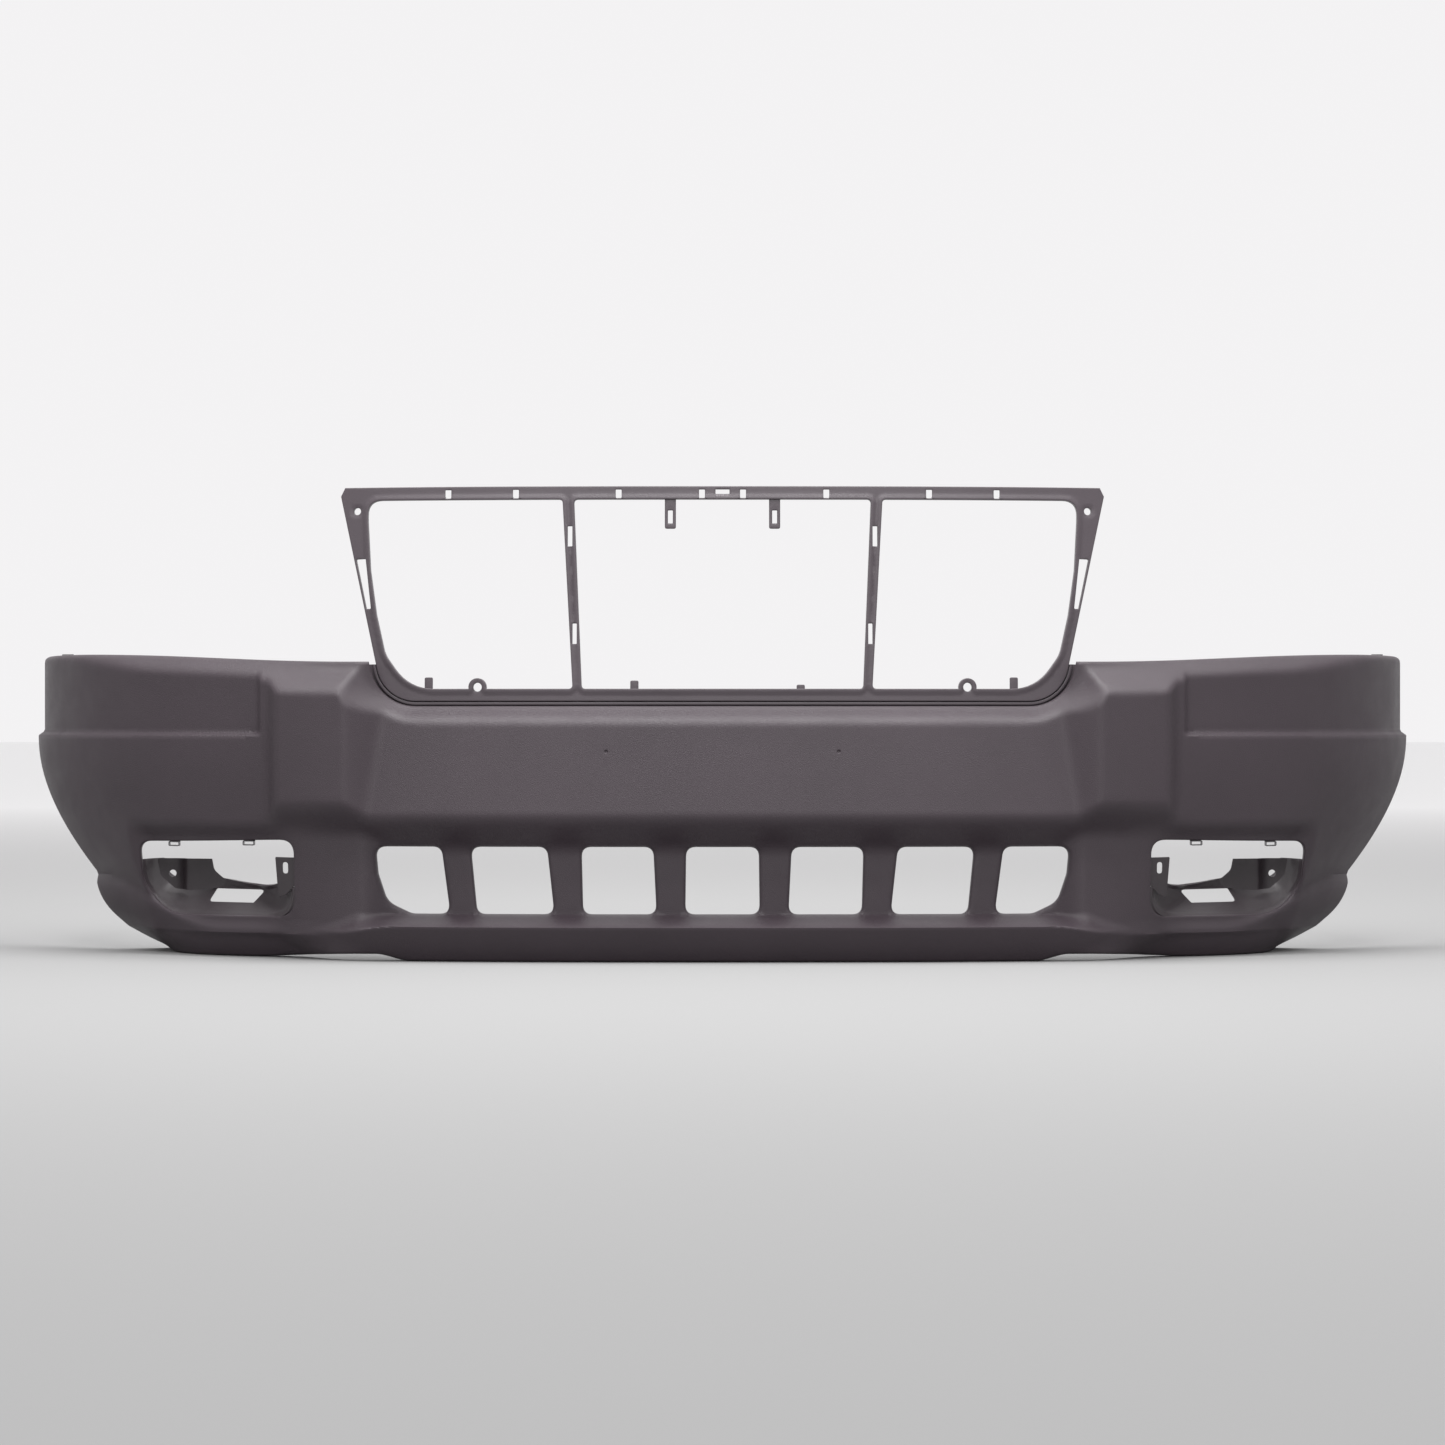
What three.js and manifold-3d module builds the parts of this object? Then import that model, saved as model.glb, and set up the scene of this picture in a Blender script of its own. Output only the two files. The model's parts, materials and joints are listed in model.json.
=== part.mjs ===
// Moulded plastic bumper cover of a large passenger vehicle, with its grille frame and fog lamp pockets.
// Millimetres. +X is to the right when facing the cover, -Y is its front, +Z is up, the floor is Z = 0.
import * as THREE from 'three';
import { mergeVertices } from 'three/addons/utils/BufferGeometryUtils.js';
import { TessellateModifier } from 'three/addons/modifiers/TessellateModifier.js';
import Module from 'manifold-3d';

const wasm = await Module();
wasm.setup();

// ---------------------------------------------------------------- driving dimensions

// Plan curve of the cover, seen from above: a rounded bow, flat in the middle.
const HALF_WIDTH = 905;
const NOSE_DEPTH = 560;
const PLAN_POWER = 2.7;
const FRONT_Y = -276.9;

// Rear edge of each wing, swept like a wheel arch. Depth behind the nose against height.
const ARCH_FOOT = 235;
const ARCH_LEAN = 0.25;
const ARCH_SWEEP = 0.0016;

// Skin.
const SKIN_THICKNESS = 3;
const WING_TOP_Z = 363;
const WING_TOP_RISE = 12;
const TOP_EDGE_SETBACK = 30;
const TOP_END_SETBACK = 10;
const TOP_SLOPE = 1.33;
const STEP_Z = 275;
const STEP_HEIGHT = 8;
const STEP_START_X = 566;
const CENTRE_RAKE = 14;
const CENTRE_HALF_WIDTH = 424;
const CHIN_Z = 171;
const CHIN_SLOPE = 1.2;
const CHANNEL_SETBACK = 42;
const PILLAR_SETBACK = 20;
const SIDE_TUCK = 33;
const CORNER_TUCK = 20;
const TUCK_FULL_Z = 100;
const WING_FOOT_Z = 30;
const WING_FOOT_SLOPE = 2.5;

// Raised pads between the centre panel and the wings.
const PAD_HEIGHT = 18;
const PAD_INNER_X = 452;
const PAD_OUTER_X = 536;
const PAD_INNER_WALL = 0.86;
const PAD_OUTER_WALL = 0.95;
const PAD_FOOT_Z = 165;

// Lower lip.
const LIP_RIDGE_Z = 43;
const LIP_UNDERCUT = 0.6;
const LIP_LEDGE_SLOPE = 3.4;
const LIP_PILLAR_SLOPE = 1;
const LIP_WING_SLOPE = 1.5;
const LIP_CORNER_SLOPE = 2;
const LIP_LAMP_SETBACK = 42;
const LIP_SIDE_SETBACK = 44;
const CORNER_ROUND = 0.00124;
const BOTTOM_STEP = 8;

// Scoop around each fog lamp opening.
const SCOOP_DEPTH = 17;
const SCOOP_INNER_X = 545;
const SCOOP_OUTER_X = 748;
const SCOOP_TOP_Z = 168;

// Return flanges at the edges of the skin.
const TOP_FLANGE = 22;
const ARCH_FLANGE = 20;
const BOTTOM_FLANGE = 24;

// Notch in the top edge of the skin that the grille frame drops into.
const NOTCH_FLOOR_Z = 309;
const NOTCH_SIDE_X = 430;
const NOTCH_SIDE_LEAN = 0.22;
const NOTCH_RADIUS = 55;
const RIM_SETBACK = 44;
const RIM_SLOPE = 1.67;
const FRAME_RAKE = 0.085;

// Lower grille slots: [x, z] corners and corner radii of the centre slot and of those to its right.
const SLOT_SLEEVE = 2.6;
const SLEEVE_DEPTH = 12;
const CENTRE_SLOT = { corners: [[-45, 56], [45, 56], [44, 138], [-44, 138]], radii: [11, 11, 11, 11] };
const SIDE_SLOTS = [
  { corners: [[80, 56], [169, 56], [171, 138], [84, 138]], radii: [11, 11, 11, 11] },
  { corners: [[204, 56], [298, 56], [306, 138], [213, 138]], radii: [11, 11, 11, 11] },
  {
    corners: [[331, 56], [378, 56], [408, 70], [419, 105], [422, 138], [342, 138]],
    radii: [11, 26, 26, 20, 12, 11],
  },
];

// Fog lamp opening, right-hand side.
const LAMP_OPENING = {
  corners: [[523, 51], [696, 50], [725, 88], [727, 141], [523, 146]],
  radii: [24, 60, 40, 14, 18],
};

// Moulded lamp pocket behind each opening: rim and back edge of its wall, right-hand side.
const POCKET_RIM = [
  [529, 62], [535, 55], [548, 51], [572, 50], [610, 50], [640, 50], [664, 50], [684, 54],
  [700, 61], [712, 71], [720, 84], [724, 98], [727, 118],
];
const POCKET_BACK = [
  [540, 92], [544, 87], [554, 84], [575, 82], [606, 82], [630, 82], [648, 83], [664, 85],
  [676, 89], [686, 94], [693, 100], [698, 107], [701, 118],
];
const POCKET_WALL = 2.5;
const POCKET_DEPTH = 50;
const POCKET_FLANGE = 15;
const POCKET_LIP = 9;
const POCKET_TOP_Z = 118;
// Each pocket screw stands beside one point of the rim. reach is how far its boss may run behind the skin.
const POCKET_SCREWS = [
  { x: 572, z: 40, rim: 3, reach: 34 },
  { x: 645, z: 40, rim: 5, reach: 34 },
  { x: 734, z: 102, rim: 11, reach: 12 },
];
const PAD_DROP = 7;
const LAMP_HOLE = { x: 693, z: 99, radius: 4.5 };

// Lamp bracket at the inboard end of each opening.
const BRACKET_CORNERS = [[500, 93], [524, 89], [535, 78], [545, 74], [547, 92], [549, 124], [500, 124]];
const BRACKET_SLOT = [[532, 104], [539, 104], [539, 118], [532, 118]];
const BRACKET_SCREW = { x: 508, z: 105 };

// Spring clips on the top edge of each lamp opening.
const CLIP_POSITIONS = { inner: 582, outer: 681 };
const CLIP_WIDTH = 15;
const CLIP_DROP = 6;
const CLIP_RISE = 7.5;
const CLIP_STRAP = 1.5;

// Retainer strip along the top edge of each wing, and the bracket at its outer end.
const RETAINER_START_X = 470;
const RETAINER_THICKNESS = 2.5;
const RETAINER_SHARES = [0.3, 0.95];
const RETAINER_PIN_COLUMNS = [2, 8];
const END_BRACKET_ROWS = [[291, 0], [309, 0], [330, 0], [346, 0], [363, 10]];
const END_BRACKET_TIP = { rise: 6, back: 4 };
const END_BRACKET_THICKNESS = 2;
const END_BRACKET_RIVETS = [303, 336];
const RIVET_SHANK = 2;
const RIVET_HEAD = 4;
const RIVET_SEAT = 3;

// Grille frame.
const FRAME_TOP_Z = 577;
const FRAME_DEPTH = 14;
const FRAME_EDGE = 6;
const OPENING_TOP_Z = 561;
const OPENING_FLOOR_Z = 330;
const MULLION_TOP_X = 188;
const MULLION_TOP_WIDTH = 14;
const MULLION_FOOT_X = 176.5;
const MULLION_FOOT_WIDTH = 11;
const CORNER_HOLE_X = 448;
const CORNER_HOLE_Z = 548;
const RAIL_HOLES = [25, 126.5, 252, 335];
const HOOKS = [-63.5, 63.5];
const LUGS = [-298, 298];
const LUG_Z = 332;
const LUG_HOLE_RADIUS = 5.4;
const LUG_NEAR = 4;
const LUG_FAR = 9;
const CORNER_PAD_RADIUS = 9;
const CORNER_PAD_RISE = 2.5;
const TABS = [[-358, 14], [-107, 10], [95, 5], [355, 14]];
const FLANGE_NEAR = 7.5;
const FLANGE_THICKNESS = 3;
const FLANGE_REACH = 13;
const FLANGE_TOP_Z = 360;
const BEND_EDGE = 85;
const FLOOR_STEPS = 10;

// Screws: head and shank radii, head thickness, and the clearance left around them.
const SCREW_HEAD = 4.5;
const SCREW_SHANK = 1.7;
const SCREW_HEAD_THICKNESS = 2.6;
const CLEARANCE = 0.3;
const BOSS_RADIUS = 5.5;
const FRAME_SCREWS = [
  [-434, 348], [-300, 301.5], [-150, 301.5], [0, 301.5], [150, 301.5], [300, 301.5], [434, 348],
];

// ---------------------------------------------------------------- small helpers

const mix = (a, b, share) => a + (b - a) * share;
const clamp = (value, low, high) => Math.min(Math.max(value, low), high);

function ease(start, end, value) {
  const t = clamp((value - start) / (end - start), 0, 1);
  return t * t * (3 - 2 * t);
}

function softMin(a, b, radius) {
  const overlap = Math.max(radius - Math.abs(a - b), 0) / radius;
  return Math.min(a, b) - overlap * overlap * radius * 0.25;
}

const softMax = (a, b, radius) => -softMin(-a, -b, radius);

function solve(target, low, high, increasing) {
  let a = low;
  let b = high;
  for (let step = 0; step < 60; step += 1) {
    const middle = (a + b) / 2;
    if (increasing(middle) < target) a = middle;
    else b = middle;
  }
  return (a + b) / 2;
}

function toSolid(geometry) {
  const bare = new THREE.BufferGeometry();
  bare.setAttribute('position', geometry.getAttribute('position'));
  bare.setIndex(geometry.getIndex());
  const welded = mergeVertices(bare, 1e-4);
  const mesh = new wasm.Mesh({
    numProp: 3,
    vertProperties: Float32Array.from(welded.getAttribute('position').array),
    triVerts: Uint32Array.from(welded.getIndex().array),
  });
  return new wasm.Manifold(mesh);
}

function toMesh(name, solid) {
  const data = solid.getMesh();
  const geometry = new THREE.BufferGeometry();
  geometry.setAttribute('position', new THREE.BufferAttribute(Float32Array.from(data.vertProperties), 3));
  geometry.setIndex(new THREE.BufferAttribute(Uint32Array.from(data.triVerts), 1));
  const mesh = new THREE.Mesh(geometry);
  mesh.name = name;
  return mesh;
}

function mirrored(solid) {
  const data = solid.getMesh();
  const positions = Float32Array.from(data.vertProperties);
  for (let i = 0; i < positions.length; i += 3) positions[i] = -positions[i];
  const triangles = Uint32Array.from(data.triVerts);
  for (let i = 0; i < triangles.length; i += 3) {
    [triangles[i + 1], triangles[i + 2]] = [triangles[i + 2], triangles[i + 1]];
  }
  const mesh = new wasm.Mesh({ numProp: 3, vertProperties: positions, triVerts: triangles });
  return new wasm.Manifold(mesh);
}

// Closed polygon with rounded corners, as a list of points. radii has one entry per corner.
function roundedOutline(corners, radii, segments = 4) {
  const outline = [];
  corners.forEach((corner, index) => {
    const before = corners[(index + corners.length - 1) % corners.length];
    const after = corners[(index + 1) % corners.length];
    const here = new THREE.Vector2(corner[0], corner[1]);
    const back = new THREE.Vector2(before[0], before[1]).sub(here);
    const ahead = new THREE.Vector2(after[0], after[1]).sub(here);
    const halfAngle = Math.abs(back.angle() - ahead.angle()) / 2;
    const reach = Math.abs(radii[index] / Math.tan(halfAngle));
    const start = here.clone().addScaledVector(back.normalize(), reach);
    const end = here.clone().addScaledVector(ahead.normalize(), reach);
    const curve = new THREE.QuadraticBezierCurve(start, here, end);
    outline.push(...curve.getPoints(segments));
  });
  return outline;
}

// Convex outline moved outwards by amount along its own edge normals.
function grownOutline(points, amount) {
  return points.map((point, index) => {
    const before = points[(index + points.length - 1) % points.length];
    const after = points[(index + 1) % points.length];
    const edgeIn = point.clone().sub(before).normalize();
    const edgeOut = after.clone().sub(point).normalize();
    const normal = new THREE.Vector2(edgeIn.y + edgeOut.y, -edgeIn.x - edgeOut.x).normalize();
    return point.clone().addScaledVector(normal, amount);
  });
}

const mirroredOutline = (points) => points.map((point) => new THREE.Vector2(-point.x, point.y)).reverse();
const bothSides = (outlines) => [...outlines, ...outlines.map(mirroredOutline)];
const toPoints = (corners) => corners.map(([x, z]) => new THREE.Vector2(x, z));

const box = (x, z, width, height) => toPoints([
  [x - width / 2, z - height / 2], [x + width / 2, z - height / 2],
  [x + width / 2, z + height / 2], [x - width / 2, z + height / 2],
]);

function circle(x, z, radius, segments = 12) {
  const points = [];
  for (let i = 0; i < segments; i += 1) {
    const angle = (2 * Math.PI * i) / segments;
    points.push(new THREE.Vector2(x + radius * Math.cos(angle), z + radius * Math.sin(angle)));
  }
  return points;
}

function extruded(outline, depth, holes = []) {
  const shape = new THREE.Shape(outline);
  shape.holes = holes.map((hole) => new THREE.Path(hole));
  return new THREE.ExtrudeGeometry(shape, { depth, bevelEnabled: false });
}

// Flat plate in the XZ plane between two Y positions.
function plate(outline, nearY, farY, holes = []) {
  const geometry = extruded(outline, farY - nearY, holes);
  geometry.rotateX(Math.PI / 2);
  geometry.translate(0, farY, 0);
  return toSolid(geometry);
}

// Plate in the XZ plane that follows a curved surface. near and far are distances behind surface(x, z).
function bentPlate(surface, outline, near, far, holes = [], edge = BEND_EDGE) {
  const geometry = new TessellateModifier(edge, 24).modify(extruded(outline, far - near, holes));
  geometry.rotateX(Math.PI / 2);
  geometry.translate(0, far, 0);
  const position = geometry.getAttribute('position');
  for (let i = 0; i < position.count; i += 1) {
    position.setY(i, position.getY(i) + surface(position.getX(i), position.getZ(i)));
  }
  return toSolid(geometry);
}

// Upright plate between two heights. Its outline is drawn in plan, as [x, y].
function upright(outline, lowZ, highZ) {
  const geometry = extruded(outline, highZ - lowZ);
  geometry.translate(0, 0, lowZ);
  return toSolid(geometry);
}

// Screw along Y: its head starts at seatY and its shank runs forwards to tipY.
function screw(x, z, seatY, tipY) {
  const head = plate(circle(x, z, SCREW_HEAD, 10), seatY, seatY + SCREW_HEAD_THICKNESS);
  return head.add(plate(circle(x, z, SCREW_SHANK, 8), tipY, seatY + 1));
}

// ---------------------------------------------------------------- plan curve

function planPoint(angle) {
  const across = Math.sin(angle) / HALF_WIDTH;
  const along = Math.cos(angle) / NOSE_DEPTH;
  const radius = Math.pow(Math.pow(across, PLAN_POWER) + Math.pow(along, PLAN_POWER), -1 / PLAN_POWER);
  return { x: radius * Math.sin(angle), depth: NOSE_DEPTH - radius * Math.cos(angle) };
}

function planNormal(point) {
  const across = Math.pow(point.x / HALF_WIDTH, PLAN_POWER - 1) / HALF_WIDTH;
  const along = Math.pow((NOSE_DEPTH - point.depth) / NOSE_DEPTH, PLAN_POWER - 1) / NOSE_DEPTH;
  const length = Math.hypot(across, along);
  return { x: across / length, depth: -along / length };
}

const angleAtX = (x) => solve(x, 0, Math.PI / 2, (angle) => planPoint(angle).x);
const angleAtDepth = (depth) => solve(depth, 0, Math.PI / 2, (angle) => planPoint(angle).depth);
const archDepth = (z) => ARCH_FOOT + ARCH_LEAN * z + ARCH_SWEEP * z * z;

// ---------------------------------------------------------------- notch for the grille frame

const notchTilt = Math.atan(NOTCH_SIDE_LEAN);
const notchArc = {
  z: NOTCH_FLOOR_Z + NOTCH_RADIUS,
  x: NOTCH_SIDE_X + (NOTCH_FLOOR_Z + NOTCH_RADIUS - WING_TOP_Z) * Math.tan(notchTilt)
    - NOTCH_RADIUS / Math.cos(notchTilt),
};

// Distance outside the notch outline, for x >= 0.
function notchDistance(x, z) {
  const side = (x - NOTCH_SIDE_X) * Math.cos(notchTilt) - (z - WING_TOP_Z) * Math.sin(notchTilt);
  const floor = NOTCH_FLOOR_Z - z;
  const dx = x - notchArc.x;
  const dz = z - notchArc.z;
  const direction = Math.atan2(dz, dx);
  if (direction > -Math.PI / 2 && direction < -notchTilt) return Math.hypot(dx, dz) - NOTCH_RADIUS;
  return Math.max(side, floor);
}

// Right half of the notch outline from its floor up to topZ, moved outwards by offset.
function notchHalfPath(offset, topZ) {
  const points = [];
  const arcSteps = 6;
  for (let step = 0; step <= arcSteps; step += 1) {
    const angle = -Math.PI / 2 + (step / arcSteps) * (Math.PI / 2 - notchTilt);
    const radius = NOTCH_RADIUS + offset;
    points.push([notchArc.x + radius * Math.cos(angle), notchArc.z + radius * Math.sin(angle)]);
  }
  const sideX = NOTCH_SIDE_X + (topZ - WING_TOP_Z) * NOTCH_SIDE_LEAN + offset / Math.cos(notchTilt);
  points.push([sideX, topZ]);
  return points.map(([x, z]) => new THREE.Vector2(x, z));
}

function notchPath(offset, topZ) {
  const right = notchHalfPath(offset, topZ);
  return [...mirroredOutline(right), ...right];
}

// ---------------------------------------------------------------- skin surface

const wingTopRise = (x) => WING_TOP_RISE * ease(450, 850, x);
const bottomRise = (x) => BOTTOM_STEP * ease(385, 425, x) * (1 - ease(440, 610, x));

function panelOffset(x, z) {
  const rake = (CENTRE_RAKE * (z - CHIN_Z)) / 120 * (1 - ease(CENTRE_HALF_WIDTH, PAD_INNER_X, x));
  const step = STEP_HEIGHT * ease(STEP_Z - 4, STEP_Z + 4, z) * ease(STEP_START_X - 6, STEP_START_X + 6, x);
  return -Math.max(rake, 0) - step;
}

function padOffset(x, z) {
  const innerWall = PAD_HEIGHT - (PAD_INNER_X - x) * PAD_INNER_WALL;
  const outerWall = PAD_HEIGHT - (x - PAD_OUTER_X) * PAD_OUTER_WALL;
  const foot = z - PAD_FOOT_Z;
  return softMin(softMin(softMin(innerWall, PAD_HEIGHT, 6), outerWall, 6), foot, 8);
}

function upperOffset(x, z) {
  const body = softMax(panelOffset(x, z), padOffset(x, z), 6);
  const topSetback = mix(TOP_EDGE_SETBACK, TOP_END_SETBACK, ease(700, 860, x));
  const topSlope = TOP_SLOPE * (WING_TOP_Z + wingTopRise(x) - z) - topSetback;
  const rimSetback = RIM_SETBACK + FRAME_RAKE * (z - NOTCH_FLOOR_Z);
  const rimSlope = -rimSetback + RIM_SLOPE * Math.max(notchDistance(x, z), 0);
  return softMin(softMin(body, topSlope, 10), rimSlope, 10);
}

// How far the lower corner and side of a wing tuck in under its widest line.
function wingTuck(x, z) {
  const drop = clamp((STEP_Z - z) / (STEP_Z - TUCK_FULL_Z), 0, 1.3);
  return (CORNER_TUCK + SIDE_TUCK * ease(650, 850, x)) * drop * drop;
}

function scoopDepth(x, z) {
  const inner = ease(SCOOP_INNER_X - 30, SCOOP_INNER_X + 20, x);
  const outer = 1 - ease(SCOOP_OUTER_X - 22, SCOOP_OUTER_X + 8, x);
  const up = 1 - ease(SCOOP_TOP_Z - 24, SCOOP_TOP_Z, z);
  return SCOOP_DEPTH * inner * outer * up;
}

function lipOffset(x, z) {
  const round = ease(640, 840, x);
  const ridge = LIP_RIDGE_Z - 8 * ease(400, 470, x) + 55 * ease(640, 830, x);
  const front = -6 * ease(400, 520, x) - mix(LIP_LAMP_SETBACK * ease(430, 580, x), LIP_SIDE_SETBACK, round);
  const inner = mix(LIP_LEDGE_SLOPE, LIP_PILLAR_SLOPE, ease(400, 450, x));
  const outer = mix(LIP_WING_SLOPE, LIP_CORNER_SLOPE, ease(650, 720, x));
  const slope = mix(inner, outer, ease(520, 600, x));
  if (z > ridge) return front - slope * (z - ridge);
  const below = ridge - z;
  return front - mix(LIP_UNDERCUT * below, CORNER_ROUND * below ** 2.5, round);
}

function skinOffset(x, z) {
  const upper = upperOffset(x, z);
  const chin = (z - CHIN_Z) * CHIN_SLOPE;
  const channel = mix(-CHANNEL_SETBACK, -PILLAR_SETBACK, ease(404, 446, x));
  const centre = softMax(softMin(upper, chin, 12), channel, 10);
  const foot = WING_FOOT_SLOPE * Math.max(WING_FOOT_Z - z, 0);
  const wing = upper - wingTuck(x, z) - scoopDepth(x, z) - foot;
  const wingShare = ease(455, 600, x);
  return softMax(mix(centre, wing, wingShare), lipOffset(x, z), mix(7, 14, wingShare));
}

// Rows run from the bottom return flange to the top return flange. inset pulls a row inside the skin's face.
const SKIN_ROWS = [
  { z: 0, inset: BOTTOM_FLANGE }, { z: 0, inset: 3 }, { z: 5 }, { z: 20 }, { z: 34 }, { z: 43 }, { z: 50 },
  { z: 58 }, { z: 78 }, { z: 98 }, { z: 122 }, { z: 142 }, { z: 156 }, { z: 170 }, { z: 184 }, { z: 228 },
  { z: 268 }, { z: 282 }, { z: 291 }, { z: 300 }, { z: 309 }, { z: 320 }, { z: 330 }, { z: 344 }, { z: 354 },
  { z: 363 }, { z: 363, inset: TOP_FLANGE },
];

// Columns of the front, then an even share of the side up to the wheel arch.
const FRONT_COLUMNS = [
  0, 100, 200, 300, 370, 400, 414, 426, 440, 454, 494, 534, 545, 557, 574, 620, 670, 715, 745,
];
const SIDE_COLUMNS = 6;

function skinPoint(angle, row, extraInset) {
  const base = planPoint(angle);
  const normal = planNormal(base);
  const low = 1 - ease(5, 60, row.z);
  const high = ease(291, 363, row.z);
  const z = row.z + bottomRise(base.x) * low + wingTopRise(base.x) * high;
  const offset = skinOffset(base.x, Math.max(z, 2)) - (row.inset ?? 0) - extraInset;
  return new THREE.Vector3(base.x + normal.x * offset, FRONT_Y + base.depth + normal.depth * offset, z);
}

// The wheel arch flange fades out at the corners where it meets the bottom and top flanges.
const archFlangeShare = (z) => ease(5, 50, z) * (1 - ease(345, 363, z));

// Right half of the skin's outer face, out to the given number of side columns. A full side ends in a flange.
function skinHalfGrid(rows, sideColumns) {
  const sideStart = angleAtX(FRONT_COLUMNS[FRONT_COLUMNS.length - 1]);
  return rows.map((row) => {
    const points = FRONT_COLUMNS.map((x) => skinPoint(angleAtX(x), row, 0));
    const sideEnd = angleAtDepth(archDepth(row.z));
    for (let step = 1; step <= sideColumns; step += 1) {
      points.push(skinPoint(sideStart + ((sideEnd - sideStart) * step) / SIDE_COLUMNS, row, 0));
    }
    if (sideColumns === SIDE_COLUMNS) {
      const share = row.inset === undefined ? archFlangeShare(row.z) : 0;
      const edge = skinPoint(sideEnd, row, ARCH_FLANGE * share);
      points.push(edge.add(new THREE.Vector3(0, 5 * (1 - share), 0)));
    }
    return points;
  });
}

function fullGrid(half) {
  return half.map((row) => {
    const left = row.slice(1).reverse().map((point) => new THREE.Vector3(-point.x, point.y, point.z));
    return [...left, ...row];
  });
}

// Unit normals of a grid of points, pointing to the front of the skin.
function gridNormals(grid) {
  const rows = grid.length;
  const columns = grid[0].length;
  return grid.map((row, j) => row.map((point, i) => {
    const across = row[Math.min(i + 1, columns - 1)].clone().sub(row[Math.max(i - 1, 0)]);
    const up = grid[Math.min(j + 1, rows - 1)][i].clone().sub(grid[Math.max(j - 1, 0)][i]);
    return across.cross(up).normalize();
  }));
}

// Closed body between a front grid and a back grid of the same size. The front grid's normals,
// across the columns and up the rows, point out of the body.
function gridSolid(front, back) {
  const rows = front.length;
  const columns = front[0].length;
  const positions = [...front.flat(), ...back.flat()].flatMap((point) => [point.x, point.y, point.z]);
  const shift = rows * columns;
  const p = (j, i) => j * columns + i;
  const q = (j, i) => shift + j * columns + i;
  const triangles = [];
  // The diagonals of the left half mirror those of the right half.
  const quad = (a, b, c, d, leans) => (leans ? [a, b, c, a, c, d] : [a, b, d, b, c, d]);
  for (let j = 0; j < rows - 1; j += 1) {
    for (let i = 0; i < columns - 1; i += 1) {
      const leans = 2 * i >= columns - 1;
      triangles.push(...quad(p(j, i), p(j, i + 1), p(j + 1, i + 1), p(j + 1, i), leans));
      triangles.push(...quad(q(j, i), q(j + 1, i), q(j + 1, i + 1), q(j, i + 1), leans));
    }
    const last = columns - 1;
    triangles.push(p(j, 0), p(j + 1, 0), q(j + 1, 0), p(j, 0), q(j + 1, 0), q(j, 0));
    triangles.push(p(j + 1, last), p(j, last), q(j, last), p(j + 1, last), q(j, last), q(j + 1, last));
  }
  for (let i = 0; i < columns - 1; i += 1) {
    const top = rows - 1;
    triangles.push(p(0, i + 1), p(0, i), q(0, i), p(0, i + 1), q(0, i), q(0, i + 1));
    triangles.push(p(top, i), p(top, i + 1), q(top, i + 1), p(top, i), q(top, i + 1), q(top, i));
  }
  const geometry = new THREE.BufferGeometry();
  geometry.setAttribute('position', new THREE.Float32BufferAttribute(positions, 3));
  geometry.setIndex(triangles);
  return toSolid(geometry);
}

function thickened(front, thickness) {
  const normals = gridNormals(front);
  const moved = (point, normal) => point.clone().addScaledVector(normal, -thickness);
  return gridSolid(front, front.map((row, j) => row.map((point, i) => moved(point, normals[j][i]))));
}

// The body between the outer face of the front moved back by near and by far. Ribs are trimmed to it.
function skinBacking(near, far) {
  const rows = SKIN_ROWS.filter((row) => row.inset === undefined);
  const grid = fullGrid(skinHalfGrid(rows, 2));
  const behind = (point, depth) => new THREE.Vector3(point.x, point.y + depth, point.z);
  const moved = (depth) => grid.map((row) => row.map((point) => behind(point, depth)));
  return gridSolid(moved(near), moved(far));
}

// Y of the skin's outer face at a point of the front view.
function skinY(x, z) {
  const across = Math.abs(x);
  const angle = solve(across, 0, angleAtX(880), (trial) => skinPoint(trial, { z }, 0).x);
  return skinPoint(angle, { z }, 0).y;
}

// Y of the notch rim at a point of the front view. The grille frame is bent to follow it.
function rimY(x, z) {
  const setback = RIM_SETBACK + FRAME_RAKE * (z - NOTCH_FLOOR_Z);
  const across = Math.abs(x);
  const lean = planNormal(planPoint(angleAtX(across))).x;
  const base = planPoint(angleAtX(across + setback * lean));
  return FRONT_Y + base.depth - setback * planNormal(base).depth;
}

// ---------------------------------------------------------------- bumper skin

const IN_FRONT = FRONT_Y - 60;
const BEHIND = FRONT_Y + 300;

function cutThrough(solid, outlines) {
  return outlines.reduce((rest, outline) => rest.subtract(plate(outline, IN_FRONT, BEHIND)), solid);
}

const outlineOf = (shape, segments) => roundedOutline(shape.corners, shape.radii, segments);

function skinOpenings() {
  const slots = SIDE_SLOTS.map((slot) => outlineOf(slot, 3));
  return [outlineOf(CENTRE_SLOT, 3), ...bothSides([...slots, outlineOf(LAMP_OPENING, 4)])];
}

function skinBosses() {
  const boss = (x, z, endY, reach) => (
    plate(circle(x, z, BOSS_RADIUS), IN_FRONT, endY).intersect(skinBacking(1.5, reach))
  );
  const pocketBosses = POCKET_SCREWS.map((spot) => (
    boss(spot.x, spot.z, pocketFlangeY(spot) - PAD_DROP - CLEARANCE, spot.reach)
  ));
  const bracketBoss = boss(BRACKET_SCREW.x, BRACKET_SCREW.z, BEHIND, SLEEVE_DEPTH);
  const lampBosses = [...pocketBosses, bracketBoss];
  const frameBosses = FRAME_SCREWS.map(([x, z]) => boss(x, z, rimY(x, z) + FLANGE_NEAR - 1.5, 34));
  return [...lampBosses, ...lampBosses.map(mirrored), ...frameBosses];
}

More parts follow.
